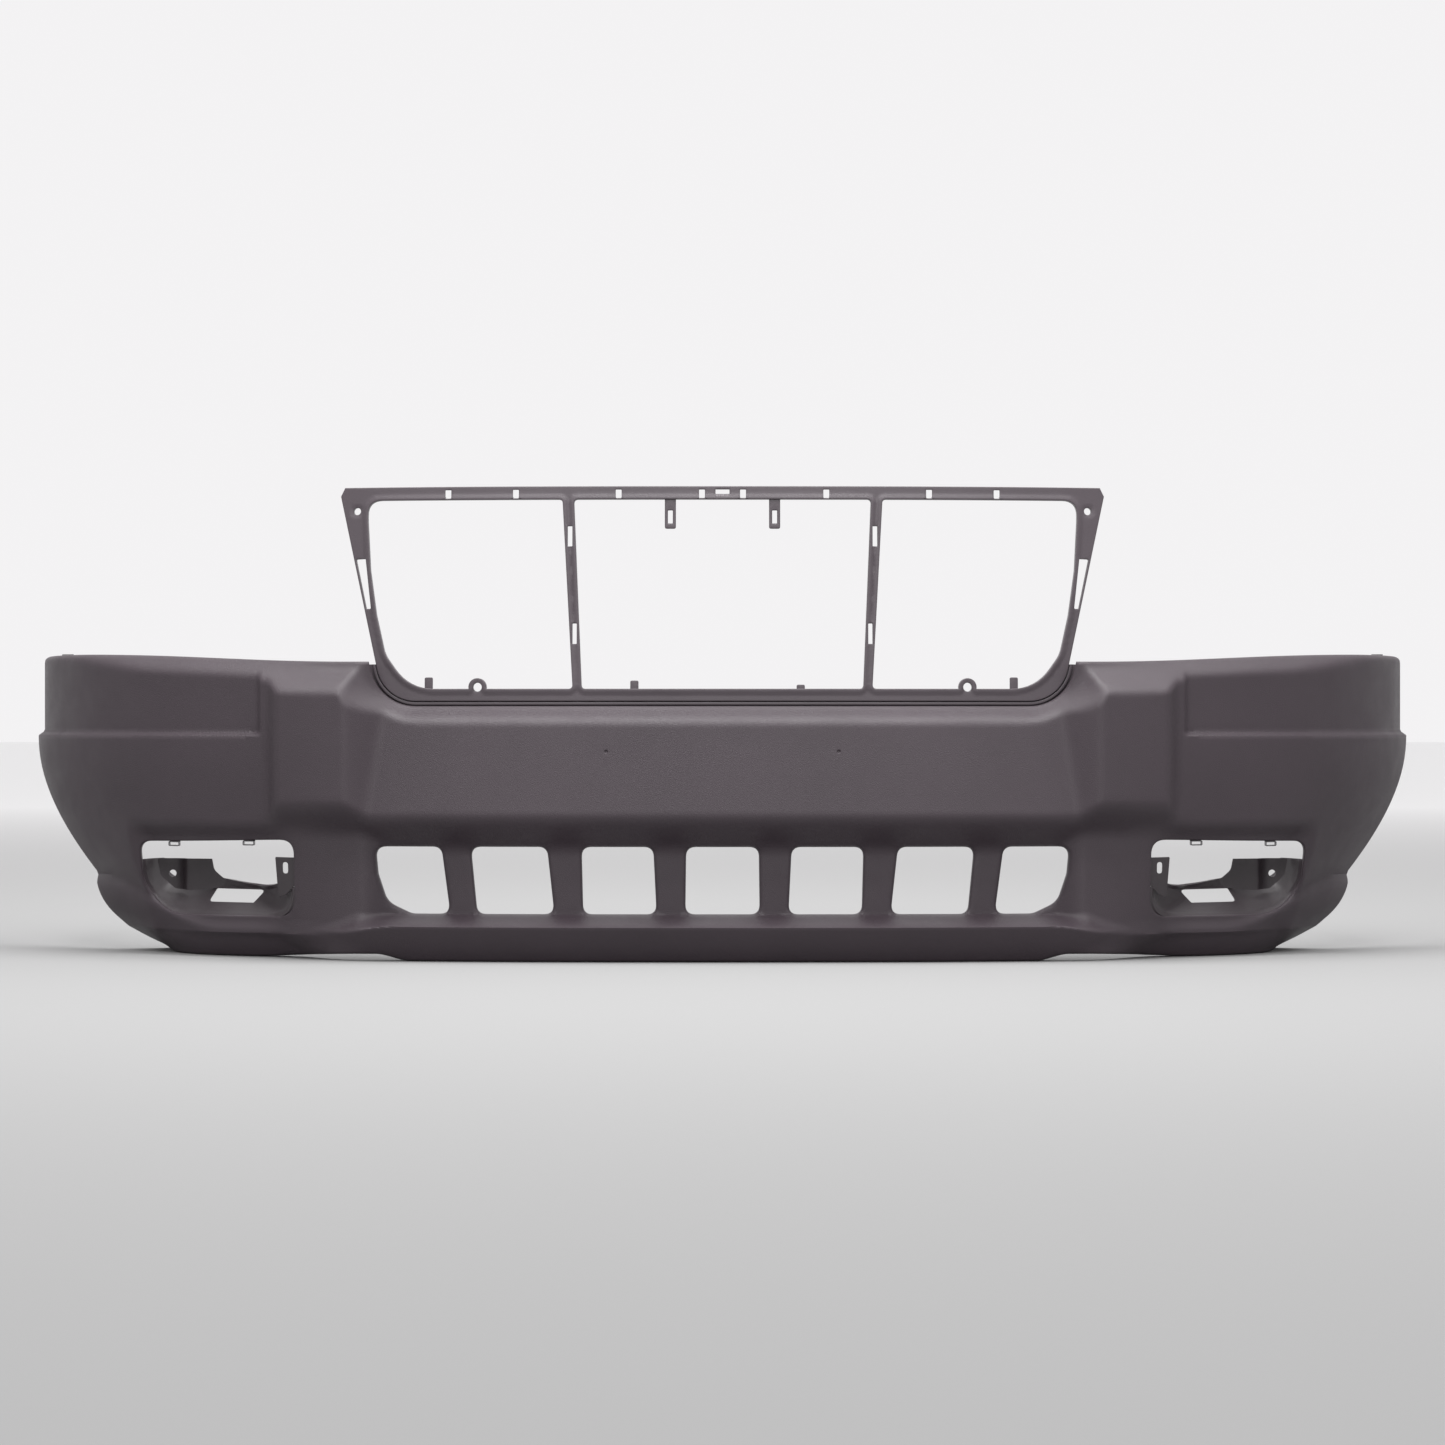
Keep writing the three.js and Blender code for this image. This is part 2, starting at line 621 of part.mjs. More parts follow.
function screwHoles() {
  const hole = (x, z, startY) => plate(circle(x, z, SCREW_SHANK + CLEARANCE, 8), startY, BEHIND);
  const frameHoles = FRAME_SCREWS.map(([x, z]) => hole(x, z, rimY(x, z) - 5));
  const lampHoles = [...POCKET_SCREWS, BRACKET_SCREW].map(({ x, z }) => hole(x, z, skinY(x, z) + 6));
  return [...frameHoles, ...lampHoles, ...lampHoles.map(mirrored)];
}

function bumperSkin() {
  let skin = thickened(fullGrid(skinHalfGrid(SKIN_ROWS, SIDE_COLUMNS)), SKIN_THICKNESS);
  const sleeveSpace = skinBacking(1.5, SLEEVE_DEPTH);
  const openings = skinOpenings();
  openings.forEach((outline) => {
    skin = skin.add(plate(grownOutline(outline, SLOT_SLEEVE), IN_FRONT, BEHIND).intersect(sleeveSpace));
  });
  skinBosses().forEach((boss) => {
    skin = skin.add(boss);
  });
  [...screwHoles(), ...retainerPinHoles(), ...endBracketHoles()].forEach((hole) => {
    skin = skin.subtract(hole);
  });
  return cutThrough(skin, [...openings, notchPath(0, WING_TOP_Z + 60)]);
}

// ---------------------------------------------------------------- grille frame

// Straight bar of the frame, bent with it.
function bentBar(x, z, width, height, near, far) {
  const pieces = Math.ceil(width / BEND_EDGE);
  const geometry = new THREE.BoxGeometry(width, far - near, height, pieces, 1, 1);
  geometry.translate(x, (near + far) / 2, z);
  const position = geometry.getAttribute('position');
  for (let i = 0; i < position.count; i += 1) {
    position.setY(i, position.getY(i) + rimY(position.getX(i), position.getZ(i)));
  }
  return toSolid(geometry);
}

// Strip of the frame that runs along the notch, between two offsets from its outline.
function notchBand(outerOffset, innerOffset, near, far) {
  const edge = (offset, depth) => {
    const half = notchHalfPath(offset, FLANGE_TOP_Z);
    const floor = [];
    for (let step = 1; step < FLOOR_STEPS; step += 1) {
      floor.push(new THREE.Vector2(half[0].x * ((2 * step) / FLOOR_STEPS - 1), half[0].y));
    }
    const path = [...mirroredOutline(half), ...floor, ...half];
    return path.map((point) => new THREE.Vector3(point.x, rimY(point.x, point.y) + depth, point.y));
  };
  const band = (depth) => [edge(outerOffset, depth), edge(innerOffset, depth)];
  return gridSolid(band(near), band(far));
}

function frameOpenings() {
  const halfTop = MULLION_TOP_X - MULLION_TOP_WIDTH / 2;
  const halfFoot = MULLION_FOOT_X - MULLION_FOOT_WIDTH / 2;
  const centre = roundedOutline(
    [
      [-halfFoot, OPENING_FLOOR_Z], [halfFoot, OPENING_FLOOR_Z],
      [halfTop, OPENING_TOP_Z], [-halfTop, OPENING_TOP_Z],
    ],
    [3, 3, 3, 3],
    2,
  );
  const sideTop = MULLION_TOP_X + MULLION_TOP_WIDTH / 2;
  const sideFoot = MULLION_FOOT_X + MULLION_FOOT_WIDTH / 2;
  const side = roundedOutline(
    [
      [sideFoot, OPENING_FLOOR_Z], [382, OPENING_FLOOR_Z], [412, 372], [423, 420],
      [431, 475], [434.5, 535], [435, OPENING_TOP_Z], [sideTop, OPENING_TOP_Z],
    ],
    [3, 60, 40, 40, 40, 40, 22, 3],
    3,
  );
  return [centre, side, mirroredOutline(side)];
}

function frameWindows() {
  const post = toPoints([[430, 428], [436, 428], [449, 489], [437, 489.5]]);
  const lean = (MULLION_TOP_X - MULLION_FOOT_X) / (OPENING_TOP_Z - OPENING_FLOOR_Z);
  const mullionX = (z) => MULLION_FOOT_X + lean * (z - OPENING_FLOOR_Z);
  const upper = box(mullionX(516), 516, 6, 25);
  const lower = box(mullionX(397), 397, 5.5, 25);
  const corner = circle(CORNER_HOLE_X, CORNER_HOLE_Z, 4.5);
  const railHoles = RAIL_HOLES.map((x) => box(x, 567.8, 7.2, 10.5));
  return [...bothSides([post, upper, lower, corner, ...railHoles]), box(0, 570.5, 17, 6)];
}

function grilleFrame() {
  const bent = (outline, near, far, holes) => bentPlate(rimY, outline, near, far, holes);
  let frame = cutThrough(bent(notchPath(-FRAME_EDGE, FRAME_TOP_Z), 0, FRAME_DEPTH), frameOpenings());
  bothSides([circle(CORNER_HOLE_X, CORNER_HOLE_Z, CORNER_PAD_RADIUS, 16)]).forEach((outline) => {
    const rim = rimY(CORNER_HOLE_X, CORNER_HOLE_Z);
    frame = frame.add(plate(outline, rim + 6, rim + FRAME_DEPTH + CORNER_PAD_RISE));
  });
  frame = cutThrough(frame, frameWindows());
  frame = frame.subtract(bentBar(0, 569, 860, 9, 3, FRAME_DEPTH + 1));
  frame = frame.subtract(bentBar(0, 322.5, 540, 8, 3, FRAME_DEPTH + 1));
  frame = frame.add(notchBand(FLANGE_REACH, -FRAME_EDGE - 1.5, FLANGE_NEAR, FLANGE_NEAR + FLANGE_THICKNESS));
  frame = frame.add(notchBand(-1.2, -5, 1.5, FLANGE_NEAR + 1));
  HOOKS.forEach((x) => {
    frame = frame.add(bent(box(x, 544, 13.5, 38), 2, 8, [box(x, 539.5, 6, 16)]));
  });
  LUGS.forEach((x) => {
    const rim = rimY(x, LUG_Z);
    frame = frame.subtract(plate(circle(x, LUG_Z, 10), IN_FRONT, BEHIND));
    const lugHole = circle(x, LUG_Z, LUG_HOLE_RADIUS);
    const lug = plate(circle(x, LUG_Z, 11, 16), rim + LUG_NEAR, rim + LUG_FAR, [lugHole]);
    frame = frame.add(lug);
  });
  TABS.forEach(([x, height]) => {
    frame = frame.add(bent(box(x, OPENING_FLOOR_Z + height / 2 - 2, 10, height + 4), 5, 8));
  });
  FRAME_SCREWS.forEach(([x, z]) => {
    const rim = rimY(x, z);
    frame = frame.add(plate(circle(x, z, 6.5), rim + FLANGE_NEAR + 1, frameSeatY(x, z)));
    frame = frame.subtract(plate(circle(x, z, SCREW_SHANK + CLEARANCE, 8), rim, frameSeatY(x, z) + 1));
  });
  return frame;
}

const frameSeatY = (x, z) => rimY(x, z) + FLANGE_NEAR + FLANGE_THICKNESS + 1.5;

// ---------------------------------------------------------------- fog lamp pocket, bracket and clips

// Y of the front face of the pocket's flange beside a screw.
function pocketFlangeY({ x, z, rim }) {
  const [rimX, rimZ] = POCKET_RIM[rim];
  return Math.max(skinY(x + SCREW_HEAD, z), skinY(rimX, rimZ)) + SLEEVE_DEPTH + CLEARANCE;
}

function pocketGrid() {
  const rim = toPoints(POCKET_RIM);
  const back = toPoints(POCKET_BACK);
  const centre = new THREE.Vector2(620, POCKET_TOP_Z);
  const outwards = (point, amount) => (
    point.clone().addScaledVector(point.clone().sub(centre).normalize(), amount)
  );
  const rimDepth = SLEEVE_DEPTH + CLEARANCE;
  const at = (point, sample, depth) => (
    new THREE.Vector3(point.x, skinY(sample.x, sample.y) + rimDepth + depth, point.y)
  );
  const clearOfSkin = (point, rimPoint) => (
    skinY(point.x, point.y) > skinY(rimPoint.x, rimPoint.y) ? point : rimPoint
  );
  const middle = rim.map((point, index) => point.clone().lerp(back[index], 0.45));
  const flange = rim.map((point) => outwards(point, POCKET_FLANGE));
  const lip = back.map((point) => outwards(point, -POCKET_LIP));
  return [
    flange.map((point, index) => at(point, clearOfSkin(point, rim[index]), 0)),
    rim.map((point) => at(point, point, 0)),
    middle.map((point, index) => at(point, rim[index], POCKET_DEPTH * 0.45)),
    back.map((point, index) => at(point, rim[index], POCKET_DEPTH)),
    lip.map((point, index) => at(point, rim[index], POCKET_DEPTH + 1)),
  ];
}

// Upright plate with the lamp's pivot hole, stepping forwards to a column beside it.
function pocketPlate() {
  const plateY = skinY(700, 100) + 44;
  const face = [[712, 0], [681, 0], [674, -11], [668, -12], [643, -20]];
  const front = face.map(([x, y]) => new THREE.Vector2(x, plateY + y));
  const back = front.map((point) => new THREE.Vector2(point.x - 0.6, point.y + 3)).reverse();
  const wall = upright([...front, ...back], 66, POCKET_TOP_Z);
  const outline = toPoints([
    [636, 84], [668, 78], [690, 80], [708, 96], [713, POCKET_TOP_Z + 1], [641, POCKET_TOP_Z + 1],
  ]);
  return wall.intersect(plate(outline, IN_FRONT, BEHIND));
}

const pocketSeatY = (spot) => pocketFlangeY(spot) + POCKET_WALL + 5;
const bracketSeatY = () => skinY(BRACKET_SCREW.x, BRACKET_SCREW.z) + SLEEVE_DEPTH + POCKET_WALL + 5.5;

function lampPocket() {
  let pocket = thickened(pocketGrid(), POCKET_WALL).add(pocketPlate());
  POCKET_SCREWS.forEach((spot) => {
    const { x, z } = spot;
    pocket = pocket.add(plate(circle(x, z, 6), pocketFlangeY(spot) - PAD_DROP, pocketSeatY(spot)));
    pocket = pocket.subtract(plate(circle(x, z, SCREW_SHANK + CLEARANCE, 8), IN_FRONT, BEHIND));
  });
  const window = toPoints([[583, 65], [643, 65], [634, 81], [568, 81]]);
  const lampHole = circle(LAMP_HOLE.x, LAMP_HOLE.z, LAMP_HOLE.radius);
  pocket = pocket.subtract(plate(window, IN_FRONT, BEHIND));
  pocket = pocket.subtract(plate(lampHole, IN_FRONT, BEHIND));
  return pocket.subtract(skinBacking(-4, SLEEVE_DEPTH + CLEARANCE));
}

function lampBracket() {
  const near = SLEEVE_DEPTH + 2 * CLEARANCE;
  const { x, z } = BRACKET_SCREW;
  const slot = roundedOutline(BRACKET_SLOT, [3, 3, 3, 3], 3);
  const seat = plate(circle(x, z, 6), skinY(x, z) + near + 1, bracketSeatY());
  const hole = plate(circle(x, z, SCREW_SHANK + CLEARANCE, 8), IN_FRONT, BEHIND);
  const blank = bentPlate(skinY, toPoints(BRACKET_CORNERS), near, near + 3, [slot], 18).add(seat);
  return blank.subtract(hole).subtract(skinBacking(-4, near));
}

function lampOpeningTop(x) {
  const [outer, inner] = LAMP_OPENING.corners.slice(3);
  return mix(inner[1], outer[1], (x - inner[0]) / (outer[0] - inner[0]));
}

// Spring clip hooked round the sleeve of the lamp opening: a loop below it and a tongue behind it.
function bezelClip(x) {
  const half = CLIP_WIDTH / 2;
  const top = lampOpeningTop(x + half) - CLEARANCE;
  const foot = top - CLIP_DROP;
  const loop = toPoints([
    [x - half, top], [x - half, foot], [x + half, foot], [x + half, top],
    [x + half - CLIP_STRAP, top], [x + half - CLIP_STRAP, foot + CLIP_STRAP],
    [x - half + CLIP_STRAP, foot + CLIP_STRAP], [x - half + CLIP_STRAP, top],
  ]);
  const edge = (px) => skinY(px, top);
  const tongueNear = SLEEVE_DEPTH + 2 * CLEARANCE;
  const tongue = box(x, top + (CLIP_RISE - CLIP_STRAP) / 2, CLIP_WIDTH, CLIP_RISE + CLIP_STRAP);
  const bentTongue = bentPlate(edge, tongue, tongueNear, tongueNear + CLIP_STRAP);
  return bentPlate(edge, loop, 2, tongueNear + 1).add(bentTongue.subtract(skinBacking(-4, tongueNear)));
}

// ---------------------------------------------------------------- wing top retainer and end bracket

const topRow = SKIN_ROWS[SKIN_ROWS.length - 2];
const topFlangeRow = SKIN_ROWS[SKIN_ROWS.length - 1];

function wingAngles() {
  const sideStart = angleAtX(FRONT_COLUMNS[FRONT_COLUMNS.length - 1]);
  const sideEnd = angleAtDepth(archDepth(topRow.z));
  const angles = FRONT_COLUMNS.filter((x) => x > RETAINER_START_X).map((x) => angleAtX(x));
  for (let step = 1; step < SIDE_COLUMNS; step += 1) {
    angles.push(sideStart + ((sideEnd - sideStart) * step) / SIDE_COLUMNS);
  }
  return angles;
}

// Point on the top flange of the wing, share 0 at its front edge and 1 at its rear edge.
function topFlangePoint(angle, share, lift) {
  const front = skinPoint(angle, topRow, 0);
  const rear = skinPoint(angle, topFlangeRow, 0);
  return front.lerp(rear, share).add(new THREE.Vector3(0, 0, lift));
}

function pinPoints() {
  const angles = wingAngles();
  return RETAINER_PIN_COLUMNS.map((column) => topFlangePoint(angles[column], 0.63, 0));
}

function retainerPinHoles() {
  const right = pinPoints().map(({ x, y, z }) => upright(circle(x, y, 3, 10), z - 20, z + 20));
  return [...right, ...right.map(mirrored)];
}

// The strip lies against the underside of the flange.
function wingRetainer() {
  const angles = wingAngles();
  const strip = (lift) => (
    RETAINER_SHARES.map((share) => angles.map((angle) => topFlangePoint(angle, share, lift)))
  );
  const top = -SKIN_THICKNESS - CLEARANCE;
  const solid = gridSolid(strip(top), strip(top - RETAINER_THICKNESS));
  return solid.subtract(retainerPinHoles()[0]).subtract(retainerPinHoles()[1]);
}

// Push pin from below: its head bears on the strip and its shank ends flush with the flange.
function retainerPin(point) {
  const seat = point.z - SKIN_THICKNESS - RETAINER_THICKNESS - 3 * CLEARANCE;
  const head = upright(circle(point.x, point.y, 6.5, 14), seat - 2, seat);
  return head.add(upright(circle(point.x, point.y, 2.6, 10), seat - 1, point.z - 0.5));
}

// Point on the wheel arch flange, share 0 at the outer edge of the skin and 1 at the flange's free edge.
function archFlangePoint(z, share, back) {
  const angle = angleAtDepth(archDepth(z));
  const outer = skinPoint(angle, { z }, 0);
  const free = skinPoint(angle, { z }, ARCH_FLANGE);
  return outer.lerp(free, share).add(new THREE.Vector3(0, back, 0));
}

// Moves a solid made round the Y axis to the middle of the wheel arch flange, square to the flange.
function ontoArchFlange(solid, z) {
  const up = archFlangePoint(z + 4, 0.6, 0).sub(archFlangePoint(z - 4, 0.6, 0)).normalize();
  const inwards = archFlangePoint(z, 1, 0).sub(archFlangePoint(z, 0, 0));
  const back = inwards.cross(up).normalize();
  const across = back.clone().cross(up);
  const frame = new THREE.Matrix4().makeBasis(across, back, up).setPosition(archFlangePoint(z, 0.6, 0));
  return solid.transform(frame.elements);
}

function endBracketHoles() {
  const drill = plate(circle(0, 0, RIVET_SHANK + CLEARANCE, 8), -12, 12);
  const right = END_BRACKET_RIVETS.map((z) => ontoArchFlange(drill, z));
  return [...right, ...right.map(mirrored)];
}

function endBracket() {
  const near = 3 * CLEARANCE;
  const tipMove = new THREE.Vector3(0, END_BRACKET_TIP.back, END_BRACKET_TIP.rise);
  const row = (z, back) => [0.2, 0.95].map((share) => archFlangePoint(z, share, back));
  const grid = (back) => {
    const rows = END_BRACKET_ROWS.map(([z, kick]) => row(z, back + kick));
    const tip = rows[rows.length - 1].map((point) => point.clone().add(tipMove));
    return [...rows, tip];
  };
  const holes = endBracketHoles();
  return gridSolid(grid(near + END_BRACKET_THICKNESS), grid(near)).subtract(holes[0]).subtract(holes[1]);
}

// Blind rivet through the end bracket and the wheel arch flange.
function bracketRivet(z) {
  const head = plate(circle(0, 0, RIVET_HEAD, 10), RIVET_SEAT, RIVET_SEAT + 1.5);
  return ontoArchFlange(head.add(plate(circle(0, 0, RIVET_SHANK, 8), -7, RIVET_SEAT + 1)), z);
}

// ---------------------------------------------------------------- assembly

const object = new THREE.Group();
object.name = 'bumper_cover';

function addPair(name, solid) {
  object.add(toMesh(`${name}_right`, solid));
  object.add(toMesh(`${name}_left`, mirrored(solid)));
}

object.add(toMesh('bumper_skin', bumperSkin()));
object.add(toMesh('grille_frame', grilleFrame()));
FRAME_SCREWS.forEach(([x, z], index) => {
  object.add(toMesh(`frame_screw_${index + 1}`, screw(x, z, frameSeatY(x, z) + CLEARANCE, rimY(x, z) - 4)));
});
addPair('lamp_pocket', lampPocket());
addPair('lamp_bracket', lampBracket());
addPair('bezel_clip_inner', bezelClip(CLIP_POSITIONS.inner));
addPair('bezel_clip_outer', bezelClip(CLIP_POSITIONS.outer));
POCKET_SCREWS.forEach((spot, index) => {
  const seatY = pocketSeatY(spot) + CLEARANCE;
  const tipY = Math.max(seatY - 22, skinY(spot.x, spot.z) + 7);
  addPair(`pocket_screw_${index + 1}`, screw(spot.x, spot.z, seatY, tipY));
});
const bracketScrewSeat = bracketSeatY() + CLEARANCE;
addPair('bracket_screw', screw(BRACKET_SCREW.x, BRACKET_SCREW.z, bracketScrewSeat, bracketScrewSeat - 13));
addPair('wing_retainer', wingRetainer());
pinPoints().forEach((point, index) => addPair(`retainer_pin_${index + 1}`, retainerPin(point)));
addPair('end_bracket', endBracket());
END_BRACKET_RIVETS.forEach((z, index) => addPair(`end_bracket_rivet_${index + 1}`, bracketRivet(z)));

export default object;
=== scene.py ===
import json
import math

import bmesh
import bpy
import numpy as np
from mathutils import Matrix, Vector
from mathutils.geometry import delaunay_2d_cdt
from mathutils.kdtree import KDTree


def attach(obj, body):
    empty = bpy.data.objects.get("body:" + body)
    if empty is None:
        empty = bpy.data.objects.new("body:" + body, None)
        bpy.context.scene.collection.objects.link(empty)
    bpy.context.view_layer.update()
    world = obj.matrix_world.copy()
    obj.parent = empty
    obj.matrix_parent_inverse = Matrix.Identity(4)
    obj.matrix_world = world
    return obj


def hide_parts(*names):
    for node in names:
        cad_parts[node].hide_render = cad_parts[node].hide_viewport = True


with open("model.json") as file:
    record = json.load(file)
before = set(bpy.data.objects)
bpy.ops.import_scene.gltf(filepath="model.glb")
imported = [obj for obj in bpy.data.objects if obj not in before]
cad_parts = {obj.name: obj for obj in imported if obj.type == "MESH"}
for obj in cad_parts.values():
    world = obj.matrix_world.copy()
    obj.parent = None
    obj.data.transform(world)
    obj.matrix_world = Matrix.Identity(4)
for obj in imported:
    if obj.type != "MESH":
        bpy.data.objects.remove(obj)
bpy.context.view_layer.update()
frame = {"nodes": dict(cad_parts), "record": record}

MM = 0.001

# ---- shape of the cover

# Plan curve of the front, and the line where a wing ends at the wheel arch.
HALF_WIDTH = 905
NOSE_DEPTH = 560
PLAN_POWER = 2.7
FRONT_Y = -276.9
ARCH_FOOT = 235
ARCH_LEAN = 0.25
ARCH_SWEEP = 0.0016

# Middle face and wings. Setbacks are measured inwards from the plan curve.
SKIN_THICKNESS = 2.8
WING_TOP_Z = 363
WING_TOP_RISE = 12
TOP_EDGE_SETBACK = 30
TOP_END_SETBACK = 10
TOP_SLOPE = 1.33
STEP_Z = 275
STEP_HEIGHT = 8
STEP_START_X = 566
CENTRE_RAKE = 14
CENTRE_HALF_WIDTH = 424
CHIN_Z = 171
CHIN_SLOPE = 1.2
CHANNEL_SETBACK = 42
PILLAR_SETBACK = 20
SIDE_TUCK = 33
CORNER_TUCK = 20
TUCK_FULL_Z = 100
WING_FOOT_Z = 30
WING_FOOT_SLOPE = 2.5

# Raised pads beside the middle face.
PAD_HEIGHT = 18
PAD_INNER_X = 452
PAD_OUTER_X = 536
PAD_INNER_WALL = 0.86
PAD_OUTER_WALL = 0.95
PAD_FOOT_Z = 165

# Lower lip. Slopes are millimetres forwards for each millimetre down.
LIP_RIDGE_Z = 43
LIP_UNDERCUT = 0.6
LIP_LEDGE_SLOPE = 3.4
LIP_PILLAR_SLOPE = 1.0
LIP_WING_SLOPE = 1.5
LIP_CORNER_SLOPE = 2.0
LIP_LAMP_SETBACK = 42
LIP_SIDE_SETBACK = 44
CORNER_ROUND = 0.00124
BOTTOM_STEP = 8

# Scoops round the lamps, flanges, sleeves of the openings.
SCOOP_DEPTH = 17
SCOOP_INNER_X = 545
SCOOP_OUTER_X = 748
SCOOP_TOP_Z = 168
TOP_FLANGE = 22
ARCH_FLANGE = 20
BOTTOM_FLANGE = 24
SLEEVE_DEPTH = 12
CLEARANCE = 0.3

# Notch for the grille frame.
NOTCH_FLOOR_Z = 309
NOTCH_SIDE_X = 430
NOTCH_SIDE_LEAN = 0.22
NOTCH_RADIUS = 55
RIM_SETBACK = 44
RIM_SLOPE = 1.67
FRAME_RAKE = 0.085

BACKWARDS = np.array([0.0, 1.0, 0.0])


def ease(start, end, value):
    """0 before start, 1 after end, and a smooth blend between them."""
    t = np.clip((value - start) / (end - start), 0, 1)
    return t * t * (3 - 2 * t)


def soft_min(a, b, radius):
    """The smaller of two values, with the corner between them rounded."""
    overlap = np.maximum(radius - np.abs(a - b), 0) / radius
    return np.minimum(a, b) - overlap * overlap * radius * 0.25


def soft_max(a, b, radius):
    return -soft_min(-a, -b, radius)


def mix(a, b, share):
    return a + (b - a) * share


def stacked(*values):
    """Array whose last axis holds the values. Single numbers are repeated."""
    return np.stack(np.broadcast_arrays(*values), -1)


def unit(vectors):
    return vectors / np.linalg.norm(vectors, axis=-1)[..., None]


def quadratic(start, middle, end, t):
    """Point of the curve from start to end that bends towards middle."""
    return (1 - t) ** 2 * start + 2 * t * (1 - t) * middle + t * t * end


# ---- plan curve, seen from above

def plan_curve(steps=6000):
    """X, depth behind the front and length along the curve, from the middle outwards."""
    angle = np.linspace(0, math.radians(86), steps)
    across = np.sin(angle) / HALF_WIDTH
    along = np.cos(angle) / NOSE_DEPTH
    radius = (across ** PLAN_POWER + along ** PLAN_POWER) ** (-1 / PLAN_POWER)
    x = radius * np.sin(angle)
    depth = NOSE_DEPTH - radius * np.cos(angle)
    length = np.concatenate([[0], np.cumsum(np.hypot(np.diff(x), np.diff(depth)))])
    return x, depth, length


PLAN_X, PLAN_DEPTH, PLAN_LENGTH = plan_curve()


def plan_normal(x, depth):
    across = (x / HALF_WIDTH) ** (PLAN_POWER - 1) / HALF_WIDTH
    along = ((NOSE_DEPTH - depth) / NOSE_DEPTH) ** (PLAN_POWER - 1) / NOSE_DEPTH
    length = np.hypot(across, along)
    return across / length, -along / length


def plan_point(length):
    """Side, X, depth and outward normal at a signed length along the plan curve."""
    x = np.interp(np.abs(length), PLAN_LENGTH, PLAN_X)
    depth = np.interp(np.abs(length), PLAN_LENGTH, PLAN_DEPTH)
    return np.where(np.asarray(length) < 0, -1.0, 1.0), x, depth, plan_normal(x, depth)


def arch_end(row):
    """Length along the plan curve at which the wing ends, at the height of a row."""
    depth = ARCH_FOOT + ARCH_LEAN * row + ARCH_SWEEP * row * row
    return np.interp(depth, PLAN_DEPTH, PLAN_LENGTH)


# ---- notch that the grille frame drops into

TILT = math.atan(NOTCH_SIDE_LEAN)
ARC_Z = NOTCH_FLOOR_Z + NOTCH_RADIUS
ARC_X = NOTCH_SIDE_X + (ARC_Z - WING_TOP_Z) * math.tan(TILT) - NOTCH_RADIUS / math.cos(TILT)


def notch_distance(x, z):
    """Distance outside the notch's outline in the front view, negative within it."""
    side = (x - NOTCH_SIDE_X) * math.cos(TILT) - (z - WING_TOP_Z) * math.sin(TILT)
    floor = NOTCH_FLOOR_Z - z
    direction = np.arctan2(z - ARC_Z, x - ARC_X)
    corner = np.hypot(x - ARC_X, z - ARC_Z) - NOTCH_RADIUS
    in_corner = (direction > -math.pi / 2) & (direction < -TILT)
    return np.where(in_corner, corner, np.maximum(side, floor))


def notch_half(offset, top_z, floor_steps=64, arc_steps=16, side_steps=10):
    """Right half of the notch outline, from its middle to top_z, moved outwards by offset."""
    radius = NOTCH_RADIUS + offset
    floor_x = np.linspace(0, ARC_X, floor_steps, endpoint=False)
    floor = stacked(floor_x, NOTCH_FLOOR_Z - offset)
    angle = np.linspace(-math.pi / 2, -TILT, arc_steps)
    arc = stacked(ARC_X + radius * np.cos(angle), ARC_Z + radius * np.sin(angle))
    top_x = NOTCH_SIDE_X + (top_z - WING_TOP_Z) * NOTCH_SIDE_LEAN + offset / math.cos(TILT)
    side = np.linspace(arc[-1], [top_x, top_z], side_steps + 1)[1:]
    return np.concatenate([floor, arc, side])


def notch_path(offset, top_z):
    right = notch_half(offset, top_z)
    left = right[:0:-1] * [-1, 1]
    return np.concatenate([left, right])


# ---- skin surface

# Each offset is a distance outwards from the plan curve, for the right half of the cover.

def wing_top_rise(x):
    return WING_TOP_RISE * ease(450, 850, x)


def bottom_rise(x):
    """The small notch in the lower edge where the middle lip ends."""
    return BOTTOM_STEP * ease(385, 425, x) * (1 - ease(440, 610, x))


def rim_setback(z):
    """How far the notch's rim lies behind the plan curve."""
    return RIM_SETBACK + FRAME_RAKE * (z - NOTCH_FLOOR_Z)


def panel_offset(x, z):
    """The raked middle face and the step line along each wing."""
    rake = CENTRE_RAKE * (z - CHIN_Z) / 120 * (1 - ease(CENTRE_HALF_WIDTH, PAD_INNER_X, x))
    step = STEP_HEIGHT * ease(STEP_Z - 3, STEP_Z + 3, z) * ease(STEP_START_X - 6, STEP_START_X + 6, x)
    return -np.maximum(rake, 0) - step


def pad_offset(x, z):
    inner_wall = PAD_HEIGHT - (PAD_INNER_X - x) * PAD_INNER_WALL
    outer_wall = PAD_HEIGHT - (x - PAD_OUTER_X) * PAD_OUTER_WALL
    foot = z - PAD_FOOT_Z
    return soft_min(soft_min(soft_min(inner_wall, PAD_HEIGHT, 5), outer_wall, 5), foot, 10)


def upper_offset(x, z):
    body = soft_max(panel_offset(x, z), pad_offset(x, z), 6)
    top_setback = mix(TOP_EDGE_SETBACK, TOP_END_SETBACK, ease(700, 860, x))
    top_slope = TOP_SLOPE * (WING_TOP_Z + wing_top_rise(x) - z) - top_setback
    rim_slope = RIM_SLOPE * np.maximum(notch_distance(x, z), 0) - rim_setback(z)
    return soft_min(soft_min(body, top_slope, 9), rim_slope, 9)


def wing_tuck(x, z):
    """How far the side and lower corner of a wing tuck in under its step."""
    drop = np.clip((STEP_Z - z) / (STEP_Z - TUCK_FULL_Z), 0, 1.3)
    return (CORNER_TUCK + SIDE_TUCK * ease(650, 850, x)) * drop * drop


